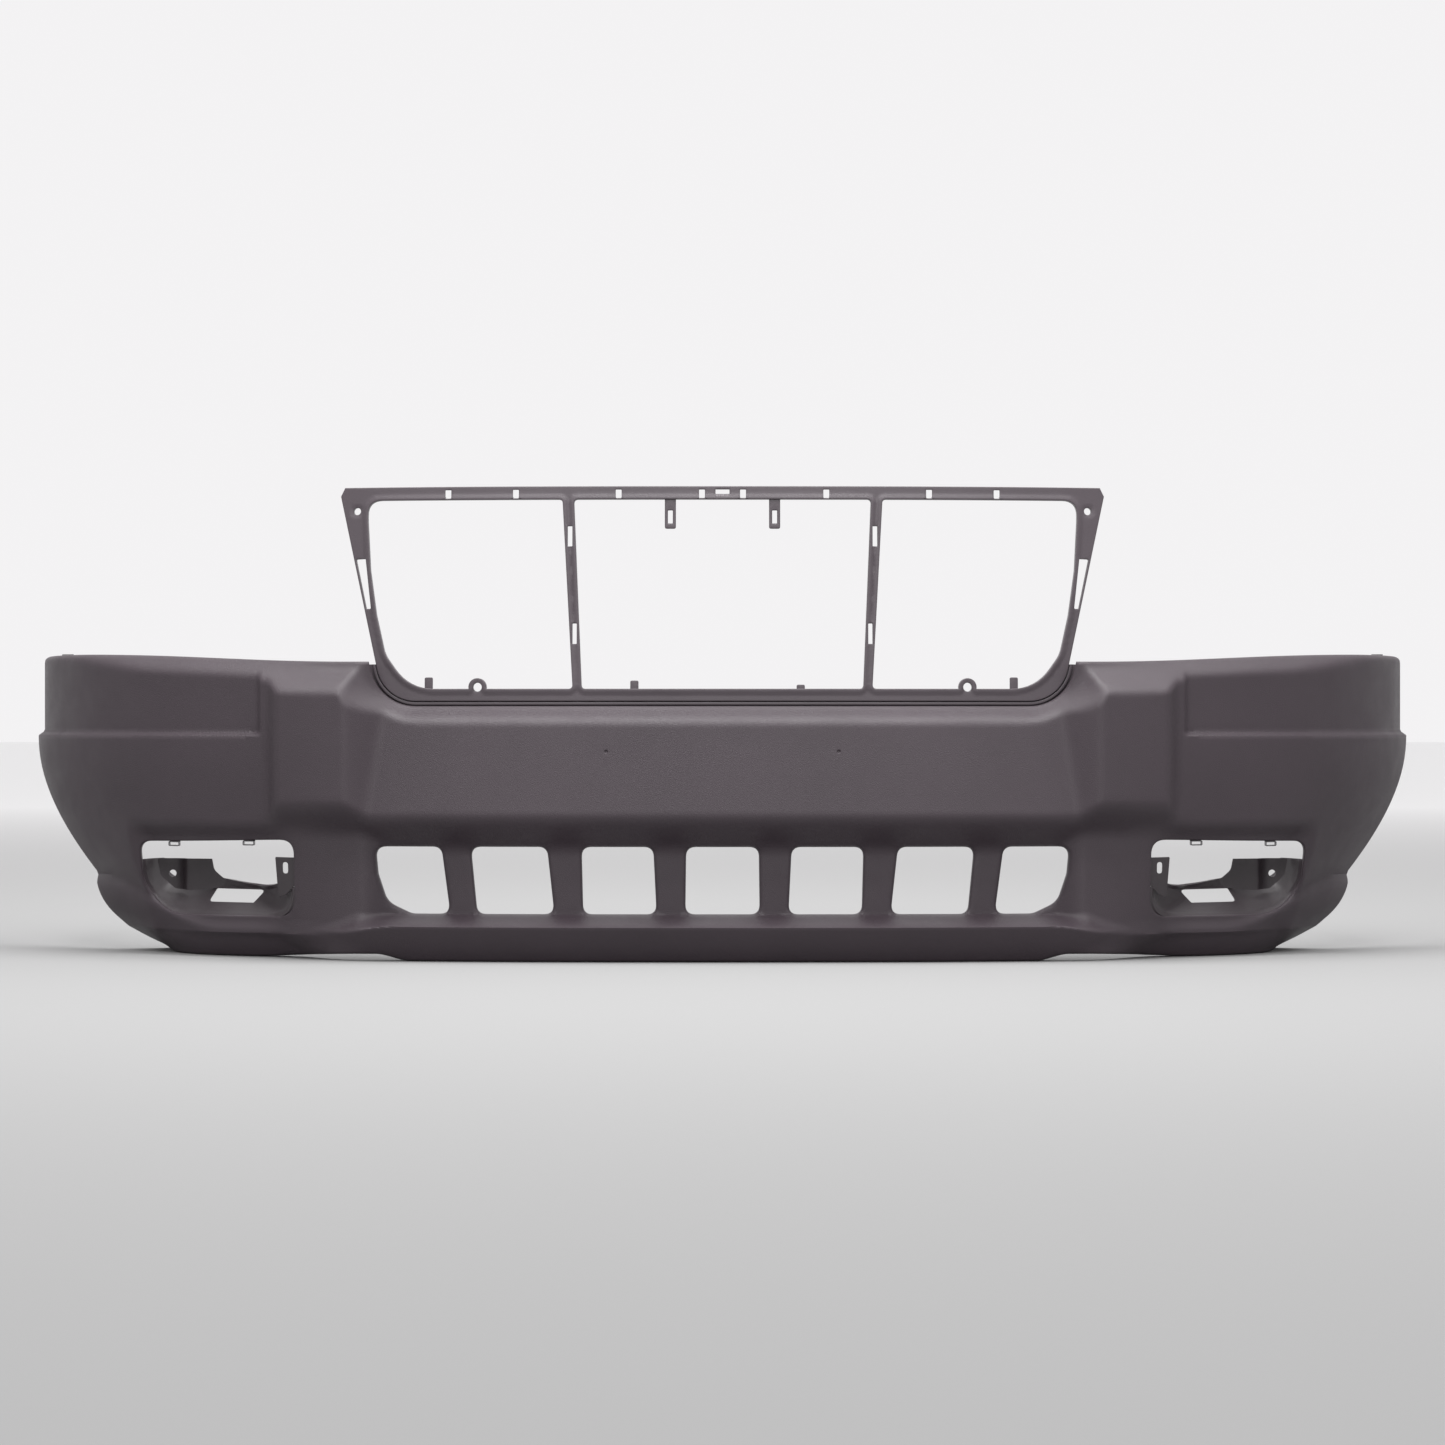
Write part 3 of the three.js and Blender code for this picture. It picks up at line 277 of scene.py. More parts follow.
def scoop_depth(x, z):
    inner = ease(SCOOP_INNER_X - 30, SCOOP_INNER_X + 20, x)
    outer = 1 - ease(SCOOP_OUTER_X - 22, SCOOP_OUTER_X + 8, x)
    return SCOOP_DEPTH * (inner * outer) * (1 - ease(SCOOP_TOP_Z - 24, SCOOP_TOP_Z, z))


def lip_offset(x, z):
    """The lip slopes forwards to its ridge and back in under it. At the corner its underside is round."""
    round_share = ease(640, 840, x)
    ridge = LIP_RIDGE_Z - 8 * ease(400, 470, x) + 55 * ease(640, 830, x)
    setback = mix(LIP_LAMP_SETBACK * ease(430, 580, x), LIP_SIDE_SETBACK, round_share)
    front = -6 * ease(400, 520, x) - setback
    inner = mix(LIP_LEDGE_SLOPE, LIP_PILLAR_SLOPE, ease(400, 450, x))
    outer = mix(LIP_WING_SLOPE, LIP_CORNER_SLOPE, ease(650, 720, x))
    slope = mix(inner, outer, ease(520, 600, x))
    below = np.maximum(ridge - z, 0)
    under = front - mix(LIP_UNDERCUT * below, CORNER_ROUND * below ** 2.5, round_share)
    above = front - slope * (z - ridge)
    width = mix(3, 8, ease(455, 600, x))
    blend = np.clip((z - ridge + width) / (2 * width), 0, 1)
    rounded = -0.4 * width * (1 - np.abs(2 * blend - 1)) ** 2
    return np.where(z > ridge, above, under) + rounded


def skin_offset(x, z):
    upper = upper_offset(x, z)
    chin = (z - CHIN_Z) * CHIN_SLOPE
    channel = mix(-CHANNEL_SETBACK, -PILLAR_SETBACK, ease(404, 446, x))
    centre = soft_max(soft_min(upper, chin, 12), channel, 10)
    foot = WING_FOOT_SLOPE * np.maximum(WING_FOOT_Z - z, 0)
    wing = upper - wing_tuck(x, z) - scoop_depth(x, z) - foot
    wing_share = ease(455, 600, x)
    return soft_max(mix(centre, wing, wing_share), lip_offset(x, z), mix(7, 14, wing_share))


def skin_point(params):
    """Points of the skin's face at (length along the plan curve, row), row being the height before a rise."""
    row = params[..., 1]
    side, x, depth, (normal_x, normal_depth) = plan_point(params[..., 0])
    low_share = 1 - ease(5, 60, row)
    high_share = ease(291, WING_TOP_Z, row)
    z = row + bottom_rise(x) * low_share + wing_top_rise(x) * high_share
    offset = skin_offset(x, np.maximum(z, 2))
    return stacked(side * (x + normal_x * offset), FRONT_Y + depth + normal_depth * offset, z)


def skin_inwards(length):
    """Level unit vectors that point from the skin's face into the cover."""
    side, _, _, (normal_x, normal_depth) = plan_point(length)
    return stacked(-side * normal_x, -normal_depth, 0)


def skin_params(flat):
    """(length, row) of the skin's points that show at (x, z) in the front view."""
    x, z = flat[..., 0], flat[..., 1]
    across = np.abs(x)
    length = np.interp(across, PLAN_X, PLAN_LENGTH)
    row = z
    for _ in range(40):
        point = skin_point(stacked(length, row))
        length = np.maximum(length + across - point[..., 0], 0)
        row = row + (z - point[..., 2])
    return stacked(np.where(x < 0, -length, length), row)


def skin_y(x, z):
    return skin_point(skin_params(stacked(x, z)))[..., 1]


def rim_y(x, z):
    """Y of the notch rim at a point of the front view. The grille frame is bent to follow it."""
    setback = rim_setback(z)
    across = np.abs(x)
    lean, _ = plan_normal(across, np.interp(across, PLAN_X, PLAN_DEPTH))
    base_x = across + setback * lean
    base_depth = np.interp(base_x, PLAN_X, PLAN_DEPTH)
    _, normal_depth = plan_normal(base_x, base_depth)
    return FRONT_Y + base_depth - setback * normal_depth


# ---- outlines

def rounded_outline(corners, radii, segments=8, spacing=5.0):
    """Closed polygon with rounded corners and long edges split up."""
    corners = np.asarray(corners, float)
    t = np.linspace(0, 1, segments + 1)[:, None]
    outline = []
    for index, here in enumerate(corners):
        back = corners[index - 1] - here
        ahead = corners[(index + 1) % len(corners)] - here
        back_length, ahead_length = np.linalg.norm(back), np.linalg.norm(ahead)
        cosine = np.dot(back, ahead) / (back_length * ahead_length)
        half_angle = math.acos(max(-1.0, min(1.0, cosine))) / 2
        reach = radii[index] / math.tan(half_angle)
        start = here + back / back_length * reach
        end = here + ahead / ahead_length * reach
        outline.append(quadratic(start, here, end, t))
    return subdivided(np.concatenate(outline), spacing)


def subdivided(outline, spacing):
    """Closed outline whose edges are no longer than spacing. Repeated points are left out."""
    points = []
    for here, after in zip(outline, np.roll(outline, -1, axis=0)):
        distance = np.linalg.norm(after - here)
        if distance < 1e-6:
            continue
        steps = max(1, int(math.ceil(distance / spacing)))
        points.append(here + (after - here) * (np.arange(steps) / steps)[:, None])
    return np.concatenate(points)


def grown(outline, amount):
    """Counter-clockwise outline moved outwards by amount."""
    edges = unit(np.roll(outline, -1, axis=0) - outline)
    normals = stacked(edges[:, 1], -edges[:, 0])
    mean = unit(normals + np.roll(normals, 1, axis=0))
    stretch = np.sum(mean * normals, axis=1)
    return outline + mean * (amount / np.maximum(stretch, 0.5))[:, None]


def box_outline(x, z, width, height, radius=0.8, spacing=5.0):
    w, h = width / 2, height / 2
    corners = [[x - w, z - h], [x + w, z - h], [x + w, z + h], [x - w, z + h]]
    return rounded_outline(corners, [radius] * 4, 3, spacing)


def lifted(flat, y):
    """Points in space from points of the front view and their Y."""
    return stacked(flat[:, 0], y, flat[:, 1])


def circle_outline(x, z, radius, segments=28):
    angle = np.linspace(0, 2 * math.pi, segments, endpoint=False)
    return stacked(x + radius * np.cos(angle), z + radius * np.sin(angle))


def mirrored_outline(outline):
    return (outline * [-1, 1])[::-1]


def both_sides(outlines):
    return list(outlines) + [mirrored_outline(outline) for outline in outlines]


# ---- meshes

BEND_STEPS = (0.25, 0.5, 0.75, 1.0)
MIN_HEM = 0.3
SHARP_ANGLE = math.radians(38)
WELD_DISTANCE = 0.02


def contains(polygon, points):
    """Whether each of the points lies inside the polygon."""
    inside = np.zeros(len(points), bool)
    for (ax, az), (bx, bz) in zip(polygon, np.roll(polygon, -1, axis=0)):
        if az == bz:
            continue
        crosses = (az > points[:, 1]) != (bz > points[:, 1])
        at = ax + (points[:, 1] - az) * (bx - ax) / (bz - az)
        inside ^= crosses & (points[:, 0] < at)
    return inside


def distances(edge_points, points):
    """Distance from each of the points to the nearest edge point."""
    tree = KDTree(len(edge_points))
    for index, (x, z) in enumerate(edge_points):
        tree.insert((x, z, 0), index)
    tree.balance()
    return np.array([tree.find((x, z, 0))[2] for x, z in points])


def triangulated(outer, holes, grid, gap):
    """Points and triangles of a flat region. The loops come first in the points, outer then holes."""
    loops = [outer] + list(holes)
    edge_points = np.concatenate(loops)
    edges = []
    start = 0
    for loop in loops:
        count = len(loop)
        edges += [(start + i, start + (i + 1) % count) for i in range(count)]
        start += count
    keep = contains(outer, grid)
    for hole in holes:
        keep &= ~contains(hole, grid)
    inner = grid[keep]
    inner = inner[distances(edge_points, inner) > gap]
    points = np.concatenate([edge_points, inner])
    made = delaunay_2d_cdt([Vector(p) for p in points], edges, [], 0, 1e-4)
    origin = np.array([source[0] if source else -1 for source in made[3]])
    triangles = origin[np.array([face for face in made[2]])]
    centres = points[triangles].mean(axis=1)
    wanted = contains(outer, centres) & (triangles >= 0).all(axis=1)
    for hole in holes:
        wanted &= ~contains(hole, centres)
    triangles = triangles[wanted]
    a, b, c = corners_of(points, triangles)
    ab, ac = b - a, c - a
    turned = ab[:, 0] * ac[:, 1] - ab[:, 1] * ac[:, 0] < 0
    triangles[turned] = triangles[turned][:, ::-1]
    return points, triangles


def corners_of(points, faces):
    return (points[faces[:, k]] for k in range(3))


def staggered_grid(columns, rows):
    """Grid points whose every second row is shifted by half a column."""
    shifted = (columns[1:] + columns[:-1]) / 2
    points = []
    for index, row in enumerate(rows):
        x = columns if index % 2 else shifted
        points.append(stacked(x, row))
    return np.concatenate(points)


class Shell:
    """A surface that grows strip by strip from loops of points."""

    def __init__(self):
        self.points = []
        self.faces = []
        self.count = 0

    def add_points(self, points):
        start = self.count
        self.points.append(np.asarray(points, float))
        self.count += len(points)
        return np.arange(start, self.count)

    def add_faces(self, faces):
        self.faces.append(np.asarray(faces, int))

    def strip(self, near, far):
        """Faces between two loops. The surface made so far is on the left of near."""
        after = np.roll(near, -1)
        far_after = np.roll(far, -1)
        self.add_faces(stacked(after, near, far))
        self.add_faces(stacked(after, far, far_after))

    def rounded_edge(self, loop, corner, direction):
        """Bends the edge at loop over its corner line. Returns the last loop, its points and the radius."""
        start = np.concatenate(self.points)[loop]
        radius = np.linalg.norm(corner - start, axis=1)[:, None]
        end = corner + direction * radius
        for t in BEND_STEPS:
            here = self.add_points(quadratic(start, corner, end, t))
            self.strip(loop, here)
            loop = here
        return loop, end, radius

    def hem(self, loop, corner, direction, length):
        """Bends the edge at loop over and leads it on, length in all. Returns the last loop."""
        last, end, radius = self.rounded_edge(loop, corner, direction)
        rest = np.maximum(np.asarray(length, float).reshape(-1, 1) - radius, MIN_HEM)
        here = self.add_points(end + direction * rest)
        self.strip(last, here)
        return here

    def arrays(self):
        return np.concatenate(self.points), np.concatenate(self.faces)


def vertex_normals(points, faces):
    a, b, c = corners_of(points, faces)
    face_normals = np.cross(b - a, c - a)
    normals = np.zeros_like(points)
    for k in range(3):
        np.add.at(normals, faces[:, k], face_normals)
    return normals / np.maximum(np.linalg.norm(normals, axis=1), 1e-12)[:, None]


def thickened(points, faces, end_loops, thickness):
    """Closed shell: the surface, the same surface moved inwards, and rims at its end loops."""
    count = len(points)
    inner = points - vertex_normals(points, faces) * thickness
    rims = []
    for loop in end_loops:
        after = np.roll(loop, -1)
        rims.append(stacked(after, loop, loop + count))
        rims.append(stacked(after, loop + count, after + count))
    return np.concatenate([points, inner]), np.concatenate([faces, faces[:, ::-1] + count] + rims)


def joined(parts):
    """One part of several. A part is its points and its triangles."""
    points, faces, shift = [], [], 0
    for part_points, part_faces in parts:
        points.append(part_points)
        faces.append(part_faces + shift)
        shift += len(part_points)
    return np.concatenate(points), np.concatenate(faces)


def mirrored(part):
    points, faces = part
    return points * [-1, 1, 1], faces[:, ::-1]


def make_object(name, part, material=None):
    points, faces = part
    mesh = bpy.data.meshes.new(name)
    mesh.from_pydata((points * MM).tolist(), [], faces.tolist())
    mesh.validate()
    mesh.polygons.foreach_set("use_smooth", np.ones(len(mesh.polygons), bool))
    mesh.set_sharp_from_angle(angle=SHARP_ANGLE)
    if material:
        mesh.materials.append(material)
    piece = bpy.data.objects.new(name, mesh)
    bpy.context.scene.collection.objects.link(piece)
    return piece


def welded(piece):
    """Joins points of the piece that lie on each other."""
    work = bmesh.new()
    work.from_mesh(piece.data)
    bmesh.ops.remove_doubles(work, verts=work.verts, dist=WELD_DISTANCE * MM)
    work.to_mesh(piece.data)
    work.free()
    piece.data.set_sharp_from_angle(angle=SHARP_ANGLE)
    return piece


def outward_faces(part):
    """Turns a closed part's faces so that they face outwards."""
    points, faces = part
    a, b, c = corners_of(points, faces)
    volume = np.einsum("ij,ij->i", a, np.cross(b, c)).sum()
    return (points, faces) if volume > 0 else (points, faces[:, ::-1])


def combined(part, tool, operation):
    """Part after a boolean operation with the tool."""
    pieces = [make_object("part", part), make_object("tool", tool)]
    modifier = pieces[0].modifiers.new("combine", "BOOLEAN")
    modifier.operation = operation
    modifier.solver = "EXACT"
    modifier.object = pieces[1]
    evaluated = pieces[0].evaluated_get(bpy.context.evaluated_depsgraph_get())
    mesh = evaluated.to_mesh()
    mesh.calc_loop_triangles()
    points = np.zeros(len(mesh.vertices) * 3)
    faces = np.zeros(len(mesh.loop_triangles) * 3, int)
    mesh.vertices.foreach_get("co", points)
    mesh.loop_triangles.foreach_get("vertices", faces)
    evaluated.to_mesh_clear()
    for piece in pieces:
        data = piece.data
        bpy.data.objects.remove(piece)
        bpy.data.meshes.remove(data)
    return points.reshape(-1, 3) / MM, faces.reshape(-1, 3)


# ---- plates of the frame and the pockets

GRID_GAP = 0.45
BACK_STEP = 8.0
FRAME_EDGE_RADIUS = 0.9


def spread_grid(outline, step):
    """Staggered grid over an outline's box, about step apart."""
    low, high = outline.min(axis=0), outline.max(axis=0)
    columns, rows = (np.linspace(a, b, max(2, int((b - a) / step) + 1)) for a, b in zip(low, high))
    return staggered_grid(columns, rows)


def no_relief(x, z):
    return np.zeros_like(x)


def plate_solid(surface, outer, holes, near, far, radius=1.5, step=12.0, relief=no_relief):
    """Plate that follows a curved surface. Its front edges are rounded. relief sinks its front face."""
    shell = Shell()
    outer_face = grown(outer, -radius)
    hole_faces = [grown(hole, radius) for hole in holes]

    def place(flat, depth):
        return lifted(flat, surface(flat[:, 0], flat[:, 1]) + depth)

    flat, triangles = triangulated(outer_face, hole_faces, spread_grid(outer, step), step * GRID_GAP)
    front = shell.add_points(place(flat, near + relief(flat[:, 0], flat[:, 1])))
    shell.add_faces(front[triangles])
    back_step = max(step, BACK_STEP)
    back_grid = spread_grid(outer, back_step)
    back_flat, back_triangles = triangulated(outer, holes, back_grid, back_step * GRID_GAP)
    back = shell.add_points(place(back_flat, far))
    shell.add_faces(back[back_triangles][:, ::-1])
    start = 0
    for index, (face, edge) in enumerate(zip([outer_face] + hole_faces, [outer] + list(holes))):
        loop = np.arange(start, start + len(edge))
        order = loop if index == 0 else loop[::-1]
        corner = place(edge, near + relief(face[:, 0], face[:, 1]))[order - start]
        last, _, _ = shell.rounded_edge(front[order], corner, BACKWARDS)
        shell.strip(last, back[order])
        start += len(edge)
    return shell.arrays()


def notch_sweep(section, top_z):
    """Bar along the notch. section lists (offset, depth) corners of its cross-section."""
    rings = []
    for offset, depth in section:
        path = notch_path(offset, top_z)
        rings.append(lifted(path, rim_y(path[:, 0], path[:, 1]) + depth))
    count = len(rings[0])
    faces = []
    sides = len(section)
    for k in range(sides):
        here = np.arange(count) + k * count
        after = np.arange(count) + (k + 1) % sides * count
        faces.append(stacked(here[:-1], here[1:], after[1:]))
        faces.append(stacked(here[:-1], after[1:], after[:-1]))
    first = np.arange(sides) * count
    last = first + count - 1
    faces.append(np.array([[first[0], first[k], first[k + 1]] for k in range(1, sides - 1)]))
    faces.append(np.array([[last[0], last[k + 1], last[k]] for k in range(1, sides - 1)]))
    return np.concatenate(rings), np.concatenate(faces)


def rounded_section(low_offset, high_offset, near, far):
    corners = [[low_offset, near], [high_offset, near], [high_offset, far], [low_offset, far]]
    return rounded_outline(corners, [FRAME_EDGE_RADIUS] * 4, 3, 50)


# ---- skin

SLOT_LOW_Z = 56
SLOT_HIGH_Z = 138
SLOT_RADIUS = 12
SLOT_FILLET = 5.0


def air_slot(low_left, low_right, high_right, high_left):
    """Outline of an air slot from the X of its four corners."""
    corners = [[low_left, SLOT_LOW_Z], [low_right, SLOT_LOW_Z], [high_right, SLOT_HIGH_Z],
               [high_left, SLOT_HIGH_Z]]
    return rounded_outline(corners, [SLOT_RADIUS] * 4)


CENTRE_SLOT = air_slot(-45, 45, 44, -44)
SIDE_SLOTS = [
    air_slot(80, 169, 171, 84),
    air_slot(204, 298, 306, 213),
    rounded_outline([[331, SLOT_LOW_Z], [378, SLOT_LOW_Z], [408, 70], [419, 105], [422, SLOT_HIGH_Z],
                     [342, SLOT_HIGH_Z]], [SLOT_RADIUS, 26, 26, 20, SLOT_RADIUS, SLOT_RADIUS]),
]
LAMP_CORNERS = [[523, 51], [696, 50], [725, 88], [727, 141], [523, 146]]
LAMP_OPENING = rounded_outline(LAMP_CORNERS, [24, 60, 40, 14, 18], 10)
LAMP_FILLET = 3.2
DIMPLES = [(-140, 254), (140, 254)]
DIMPLE_RADIUS = 2.8
DIMPLE_DEPTH = 1.6
SKIN_EDGE = 4.0
NOTCH_EDGE = 2.5
NOTCH_HEM = 5

# Sample points of the skin: (start, end, spacing) along half of the plan curve and up the face.
COLUMN_SPANS = [(0, 380, 7.5), (380, 470, 3.2), (470, 524, 5), (524, 585, 3), (585, 760, 5), (760, 1180, 8)]
RIDGE_SPANS = [(5, 24, 5), (24, 65, 2.05)]
FACE_SPANS = [(66, 140, 6), (140, 196, 4), (196, 266, 7), (266, 284, 2), (284, 322, 3.6), (322, 363, 3)]


def bottom_edge():
    """Face edge, corner line and hem length of the lower edge, from the middle to the wing's end."""
    share = np.linspace(0, 1, 230, endpoint=False)
    face = stacked(share * (arch_end(SKIN_EDGE) - SKIN_EDGE), SKIN_EDGE)
    corner = stacked(share * arch_end(0), 0)
    return face, corner, np.full(len(share), BOTTOM_FLANGE)


def arch_edge():
    """The same for the wing's end, upwards."""
    share = np.linspace(0, 1, 70, endpoint=False)
    rows = SKIN_EDGE + share * (WING_TOP_Z - 2 * SKIN_EDGE)
    corner_rows = share * WING_TOP_Z
    flange = ARCH_FLANGE * ease(5, 50, corner_rows) * (1 - ease(345, WING_TOP_Z, corner_rows))
    face = stacked(arch_end(rows) - SKIN_EDGE, rows)
    corner = stacked(arch_end(corner_rows), corner_rows)
    return face, corner, np.maximum(flange, SKIN_EDGE + 1)


def top_edge(notch_face, notch_corner):
    """The same for the wing's top, from its end to the notch."""
    share = np.linspace(0, 1, 130, endpoint=False)
    row = WING_TOP_Z - SKIN_EDGE
    face_start, corner_start = arch_end(row) - SKIN_EDGE, arch_end(WING_TOP_Z)
    face_lengths = face_start + share * (notch_face[0, 0] - face_start)
    corner_lengths = corner_start + share * (notch_corner[0, 0] - corner_start)
    face = stacked(face_lengths, row)
    corner = stacked(corner_lengths, WING_TOP_Z)
    return face, corner, np.full(len(share), TOP_FLANGE)


def notch_edge():
    """The same for the right half of the notch, from its top to its middle."""
    face = notch_half(NOTCH_EDGE, WING_TOP_Z - SKIN_EDGE)
    corner = notch_half(0, WING_TOP_Z)
    face, corner = skin_params(face)[::-1], skin_params(corner)[::-1]
    return face, corner, np.full(len(face), NOTCH_HEM)


def skin_outer_loop():
    """Face edge, corner line, hem direction and hem length all round the outside of the skin."""
    notch = notch_edge()
    sides = [bottom_edge(), arch_edge(), top_edge(notch[0], notch[1]), notch]
    right_face, right_corner, lengths = (np.concatenate(column) for column in zip(*sides))
    is_notch = np.arange(len(lengths)) >= len(lengths) - len(notch[0])
    flip = np.array([-1, 1])
    middle = slice(len(lengths) - 2, 0, -1)
    face = np.concatenate([right_face, right_face[middle] * flip])
    corner = np.concatenate([right_corner, right_corner[middle] * flip])
    direction = skin_inwards(corner[:, 0])
    direction[np.concatenate([is_notch, is_notch[middle]])] = BACKWARDS
    return face, corner, direction, np.concatenate([lengths, lengths[middle]])


def spaced(spans):
    values = [np.arange(start, end, step) for start, end, step in spans]
    return np.concatenate(values + [[spans[-1][1]]])


def skin_grid():
    """Sample points of the skin, closer together where it bends and in straight rows along the lip."""
    half = spaced(COLUMN_SPANS)
    columns = np.concatenate([-half[:0:-1], half])
    across_ridge, up_ridge = np.meshgrid(columns, spaced(RIDGE_SPANS))
    ridge = stacked(across_ridge.ravel(), up_ridge.ravel())
    return np.concatenate([ridge, staggered_grid(columns, spaced(FACE_SPANS))])


def dimple_points():
    points = []
    for x, z in DIMPLES:
        points.append([[x, z]])
        for radius in (0.9, 1.8, 2.6, 3.6):
            points.append(circle_outline(x, z, radius, 12))
    return np.concatenate(points)


def dimpled(points):
    """The points of the face with the two dimples sunk into it."""
    for x, z in DIMPLES:
        distance = np.hypot(points[:, 0] - x, points[:, 2] - z)
        points[:, 1] += DIMPLE_DEPTH * (1 - ease(0.8, DIMPLE_RADIUS, distance))
    return points


def skin_solid():
    """The skin: its face with nine openings, sleeves behind them and a flange all round."""
    shell = Shell()
    edge, corner, direction, length = skin_outer_loop()
    slots = [CENTRE_SLOT] + both_sides(SIDE_SLOTS)
    lamps = both_sides([LAMP_OPENING])
    fillets = [SLOT_FILLET] * len(slots) + [LAMP_FILLET] * len(lamps)
    holes = [skin_params(grown(opening, fillet)[::-1]) for opening, fillet in zip(slots + lamps, fillets)]
    dimple_params = skin_params(dimple_points())
    grid = skin_grid()
    grid = grid[distances(dimple_params, grid) > 3.0]
    flat, triangles = triangulated(edge, holes, np.concatenate([grid, dimple_params]), 1.3)
    front = shell.add_points(dimpled(skin_point(flat)))
    shell.add_faces(front[triangles])
    ends = [shell.hem(np.arange(len(edge)), skin_point(corner), direction, length)]
    start = len(edge)
    for opening, hole in zip(slots + lamps, holes):
        loop = np.arange(start, start + len(hole))
        corner = skin_point(skin_params(opening[::-1]))
        ends.append(shell.hem(loop, corner, BACKWARDS, np.full(len(hole), SLEEVE_DEPTH)))
        start += len(hole)
    return thickened(*shell.arrays(), ends, SKIN_THICKNESS)


# ---- grille frame

FRAME_TOP_Z = 577
FRAME_DEPTH = 14
FRAME_EDGE = 6
FRAME_SHOULDER = 7
FRAME_CORNER_RADIUS = 6
OPENING_TOP_Z = 561
OPENING_FLOOR_Z = 330
MULLION_TOP_X = 188
MULLION_TOP_WIDTH = 14
MULLION_FOOT_X = 176.5
MULLION_FOOT_WIDTH = 11
MULLION_WINDOWS = [(516, 6), (397, 5.5)]
CORNER_HOLE = (448, 548)
CORNER_HOLE_RADIUS = 4.5
LUG = (298, 332)
LUG_RADIUS = 11
LUG_HOLE_RADIUS = 5.4
RAIL_HOLES = [25, 126.5, 252, 335]
HOOKS = [-63.5, 63.5]
TABS = [(-358, 14), (-107, 10), (95, 5), (355, 14)]
BORDER_RISE = 1.4
SEAT_DEPTH = 2.2

# Grooves in the back of the top and bottom rails: half length, low and high edge.
RAIL_GROOVES = [(430, 564.5, 573.5), (270, 318.5, 326.5)]
GROOVE_NEAR = 3.5

# Bars along the notch, as (low offset, high offset, near, far): the flange behind the rim and a bead in it.
REAR_FLANGE = (-7.5, 13, 7.5, 10.5)
BEAD = (-5, -1.2, 2.5, 8.5)
FLANGE_TOP_Z = 360


def frame_outer():
    """Outline of the frame. A bevel replaces the round of each upper corner."""
    shoulder_z = FRAME_TOP_Z - FRAME_SHOULDER
    half = notch_half(-FRAME_EDGE, shoulder_z, floor_steps=100, arc_steps=24, side_steps=60)
    top_x = half[-1, 0] + FRAME_SHOULDER * NOTCH_SIDE_LEAN
    bevel = FRAME_CORNER_RADIUS / math.tan(math.pi / 4 - TILT / 2)
    top = np.concatenate([[top_x - bevel], np.linspace(top_x - 9, 0, 110)])
    right = np.concatenate([half[:-1], stacked(top, FRAME_TOP_Z)])
    left = right[-2:0:-1] * [-1, 1]
    return np.concatenate([right, left])


def over_lug(outline):
    """Leads the floor of a side opening over the round lug that stands on it."""
    centre_x, centre_z = LUG
    half = math.sqrt(LUG_RADIUS ** 2 - (OPENING_FLOOR_Z - centre_z) ** 2)
    on_floor = np.abs(outline[:, 1] - OPENING_FLOOR_Z) < 0.01
    left = on_floor & (outline[:, 0] < centre_x - half - 1)
    keep = ~(on_floor & (np.abs(outline[:, 0] - centre_x) < half + 1))
    start = math.atan2(OPENING_FLOOR_Z - centre_z, -half) + 2 * math.pi
    end = math.atan2(OPENING_FLOOR_Z - centre_z, half)
    angle = np.linspace(start, end, 18)
    arc = stacked(centre_x + LUG_RADIUS * np.cos(angle), centre_z + LUG_RADIUS * np.sin(angle))
    after = np.flatnonzero(left)[-1] + 1
    return np.concatenate([outline[:after], arc, outline[after:][keep[after:]]])


def frame_openings():
    half_top = MULLION_TOP_WIDTH / 2
    half_foot = MULLION_FOOT_WIDTH / 2
    top_x, foot_x = MULLION_TOP_X - half_top, MULLION_FOOT_X - half_foot
    centre = [[-foot_x, OPENING_FLOOR_Z], [foot_x, OPENING_FLOOR_Z], [top_x, OPENING_TOP_Z],
              [-top_x, OPENING_TOP_Z]]
    side = [[MULLION_FOOT_X + half_foot, OPENING_FLOOR_Z], [382, OPENING_FLOOR_Z], [412, 372], [423, 420],
            [431, 475], [434.5, 535], [435, OPENING_TOP_Z], [MULLION_TOP_X + half_top, OPENING_TOP_Z]]
    side_outline = rounded_outline(side, [5, 60, 40, 40, 40, 40, 18, 5])
    return [rounded_outline(centre, [5] * 4, 5)] + both_sides([over_lug(side_outline)])


def mullion_x(z):
    lean = (MULLION_TOP_X - MULLION_FOOT_X) / (OPENING_TOP_Z - OPENING_FLOOR_Z)
    return MULLION_FOOT_X + lean * (z - OPENING_FLOOR_Z)


def frame_windows():
    """The small openings: in the posts and mullions, the screw holes and those of the top rail."""
    post = rounded_outline([[430, 428], [436, 428], [449, 489], [437, 489.5]], [1.5] * 4, 3, 4)
    mullions = [box_outline(mullion_x(z), z, width, 25, spacing=3) for z, width in MULLION_WINDOWS]
    holes = [circle_outline(*CORNER_HOLE, CORNER_HOLE_RADIUS), circle_outline(*LUG, LUG_HOLE_RADIUS)]
    rails = [box_outline(x, 567.8, 7.2, 10.5, 1.2, 3) for x in RAIL_HOLES]
    return both_sides([post] + mullions + holes + rails) + [box_outline(0, 570.5, 17, 6, spacing=3)]


def frame_relief(openings):
    """Front face of the frame: a raised border round each opening and dished seats round the holes."""
    edge_points = np.concatenate(openings)

    def relief(x, z):
        to_opening = distances(edge_points, stacked(x, z))
        to_corner = np.hypot(np.abs(x) - CORNER_HOLE[0], z - CORNER_HOLE[1])
        sunk = BORDER_RISE * ease(4.2, 6.2, to_opening)
        seat = SEAT_DEPTH * (1 - ease(7.0, 9.0, to_corner))
        return np.maximum(sunk, seat)

    return relief


